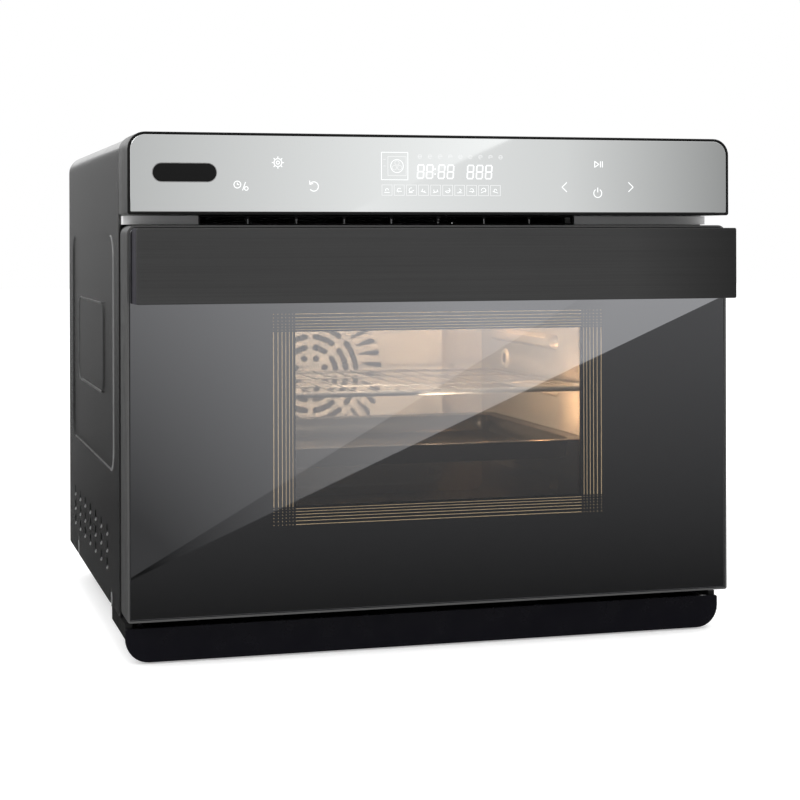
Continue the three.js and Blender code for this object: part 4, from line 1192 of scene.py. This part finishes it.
def make_camera():
    data = bpy.data.cameras.new("camera")
    data.lens = CAMERA_LENS
    data.sensor_width = 36.0
    data.shift_y = CAMERA_SHIFT
    camera = added("camera", data)
    forward = Vector((math.sin(CAMERA_YAW), math.cos(CAMERA_YAW), 0.0))
    level = Vector((math.cos(CAMERA_YAW), -math.sin(CAMERA_YAW), 0.0))
    above = level.cross(forward)
    right = math.cos(CAMERA_ROLL) * level + math.sin(CAMERA_ROLL) * above
    up = right.cross(forward)
    turn = Matrix((right, up, -forward)).transposed().to_4x4()
    camera.matrix_world = Matrix.Translation(CAMERA_SPOT) @ turn
    SCENE.camera = camera


def add_area(name, place, target, size, energy, colour=(1, 1, 1)):
    data = bpy.data.lights.new(name, "AREA")
    data.shape = "RECTANGLE"
    data.size, data.size_y = size
    data.energy = energy
    data.color = colour
    light = added(name, data)
    light.location = place
    light.rotation_euler = (Vector(target) - Vector(place)).to_track_quat("-Z", "Y").to_euler()
    light.visible_camera = False
    return light


def rectangle(left, right, bottom, top):
    return [(left, bottom), (right, bottom), (right, top), (left, top)]


def reflector(name, y, corners, planes, least):
    """A light card across Y that only shows in glossy surfaces. Its strength is the lowest of the
    planes, each given as a constant and its change along X and Z, but never under the least."""
    mesh = bpy.data.meshes.new(name)
    mesh.from_pydata([(x, y, z) for x, z in corners], [], [tuple(range(len(corners)))])
    card = added(name, mesh)
    shade = Shader(name)
    x, _, z = shade.axes()
    glow = None
    for constant, along_x, along_z in planes:
        part = shade.plus(constant, shade.times(x, along_x))
        part = shade.plus(part, shade.times(z, along_z))
        glow = part if glow is None else shade.math("MINIMUM", glow, part)
    glow = shade.math("MAXIMUM", glow, least)
    mesh.materials.append(shade.finish(shade.node("Emission", {"Color": (1, 1, 1, 1), "Strength": glow})))
    for ray in ("camera", "diffuse", "shadow", "transmission", "volume_scatter"):
        setattr(card, "visible_" + ray, False)


def make_cards():
    """Cards seen only as reflections: the slanting bright bands in the door, the tones of the
    silvered head, and the soft fall-off down the casing's left side."""
    near, step = -2.2, 0.01
    top, head, crown = 0.31, 0.38, 0.67
    for name, y, corners, planes, least in (
        ("card_bright", near, [(-0.6, -0.6287), (1.0468, top), (-0.6, top)],
         [(0.565, 1.715, 1.755), (2.03, 0.0, 0.0)], 0.267),
        ("card_middle", near - step, [(-0.6, -0.5512), (1.4056, top), (-0.6, top)],
         [(0.239, 1.645, 0.941), (1.7, 0.0, 1.587)], 0.03),
        ("card_dark", near - 2 * step, rectangle(-3.0, 4.0, -2.5, top), [(0.33, 0.0, 0.725)], 0.03),
        ("card_strip", near, rectangle(-3.0, 4.0, top, head), [(0.35, 0.0, 0.0)], 0.03),
        ("card_head_left", near, [(-1.0, head), (0.38, head), (1.038, crown), (-1.0, crown)],
         [(0.545, 0.667, 0.0)], 0.03),
        ("card_head_right", near - step, rectangle(0.3, 2.5, head, crown),
         [(1.06, -0.38, 0.0), (1.692, -1.111, 0.0)], 0.03),
        ("card_side", 1.6, rectangle(-5.0, -0.33, -3.0, 0.64), [(0.068, 0.0, 0.295)], 0.03),
    ):
        reflector(name, y, corners, planes, least)


def make_studio():
    world = bpy.data.worlds.new("world")
    world.use_nodes = True
    background = world.node_tree.nodes["Background"]
    background.inputs["Color"].default_value = (1, 1, 1, 1)
    background.inputs["Strength"].default_value = 1.0
    SCENE.world = world
    SCENE.view_settings.view_transform = "Standard"
    SCENE.cycles.use_denoising = True
    SCENE.cycles.transparent_max_bounces = 16
    SCENE.cycles.caustics_reflective = False
    SCENE.cycles.caustics_refractive = False
    SCENE.cycles.sample_clamp_indirect = 4.0

    shade = Shader("floor")
    cloud = shade.noise(3.0, 2.0)
    white = shade.node("BsdfDiffuse", {"Color": shade.blend(cloud, 0.93, 0.95)})
    lift = shade.node("Emission", {"Color": (1, 1, 1, 1), "Strength": 0.35})
    mesh = bpy.data.meshes.new("floor")
    reach = 12.0
    mesh.from_pydata([(x, y, 0) for x, y in rectangle(-reach, reach, -reach, reach)], [], [(0, 1, 2, 3)])
    mesh.materials.append(shade.finish(shade.node("AddShader", {0: white, 1: lift})))
    floor = added("floor", mesh)
    floor.visible_glossy = False

    add_area("key", (-1.8, -1.6, 2.2), (0, 0, 0.2), (1.6, 1.6), 26.0)
    add_area("top", (0.3, 0.3, 2.4), (0, 0, 0.2), (2.0, 2.0), 22.0)
    make_cards()

    # The light inside: soft fills under the ceiling, under the rack and behind the glass, and the
    # lamp's glow on the right wall
    warm = (1.0, 0.8, 0.62)
    add_area("cavity_fill", (-0.085, -0.1, 0.318), (-0.07, 0.15, 0.19), (0.16, 0.06), 1.35, warm)
    shelf = ((-0.03, -0.095, 0.184), (0.165, 0.05, 0.2), (0.16, 0.015))
    add_area("shelf_fill", *shelf, 1.15, warm).visible_glossy = False
    add_area("front_fill", (0.0, -0.17, 0.306), (0.0, -0.125, 0.2), (0.28, 0.008), 0.42, (1.0, 0.86, 0.72))
    for name, place, energy, radius in (
        ("lamp_glow", (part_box("lamp_cover")[0].x - 0.012, 0.067, 0.298), 0.55, 0.012),
        ("wall_glow", (0.138, -0.09, 0.192), 0.42, 0.012),
    ):
        glow = bpy.data.lights.new(name, "POINT")
        glow.energy = energy
        glow.color = (1.0, 0.6, 0.32)
        glow.shadow_soft_size = radius
        added(name, glow).location = place


dress_cad_nodes()
make_casing()
make_back_panel()
make_feet()
make_control_head()
make_front_strip()
make_door()
make_cavity()
make_fan_cover()
make_fan()
make_rack()
make_tray()
make_lamp_and_port()
make_seal()
make_camera()
make_studio()
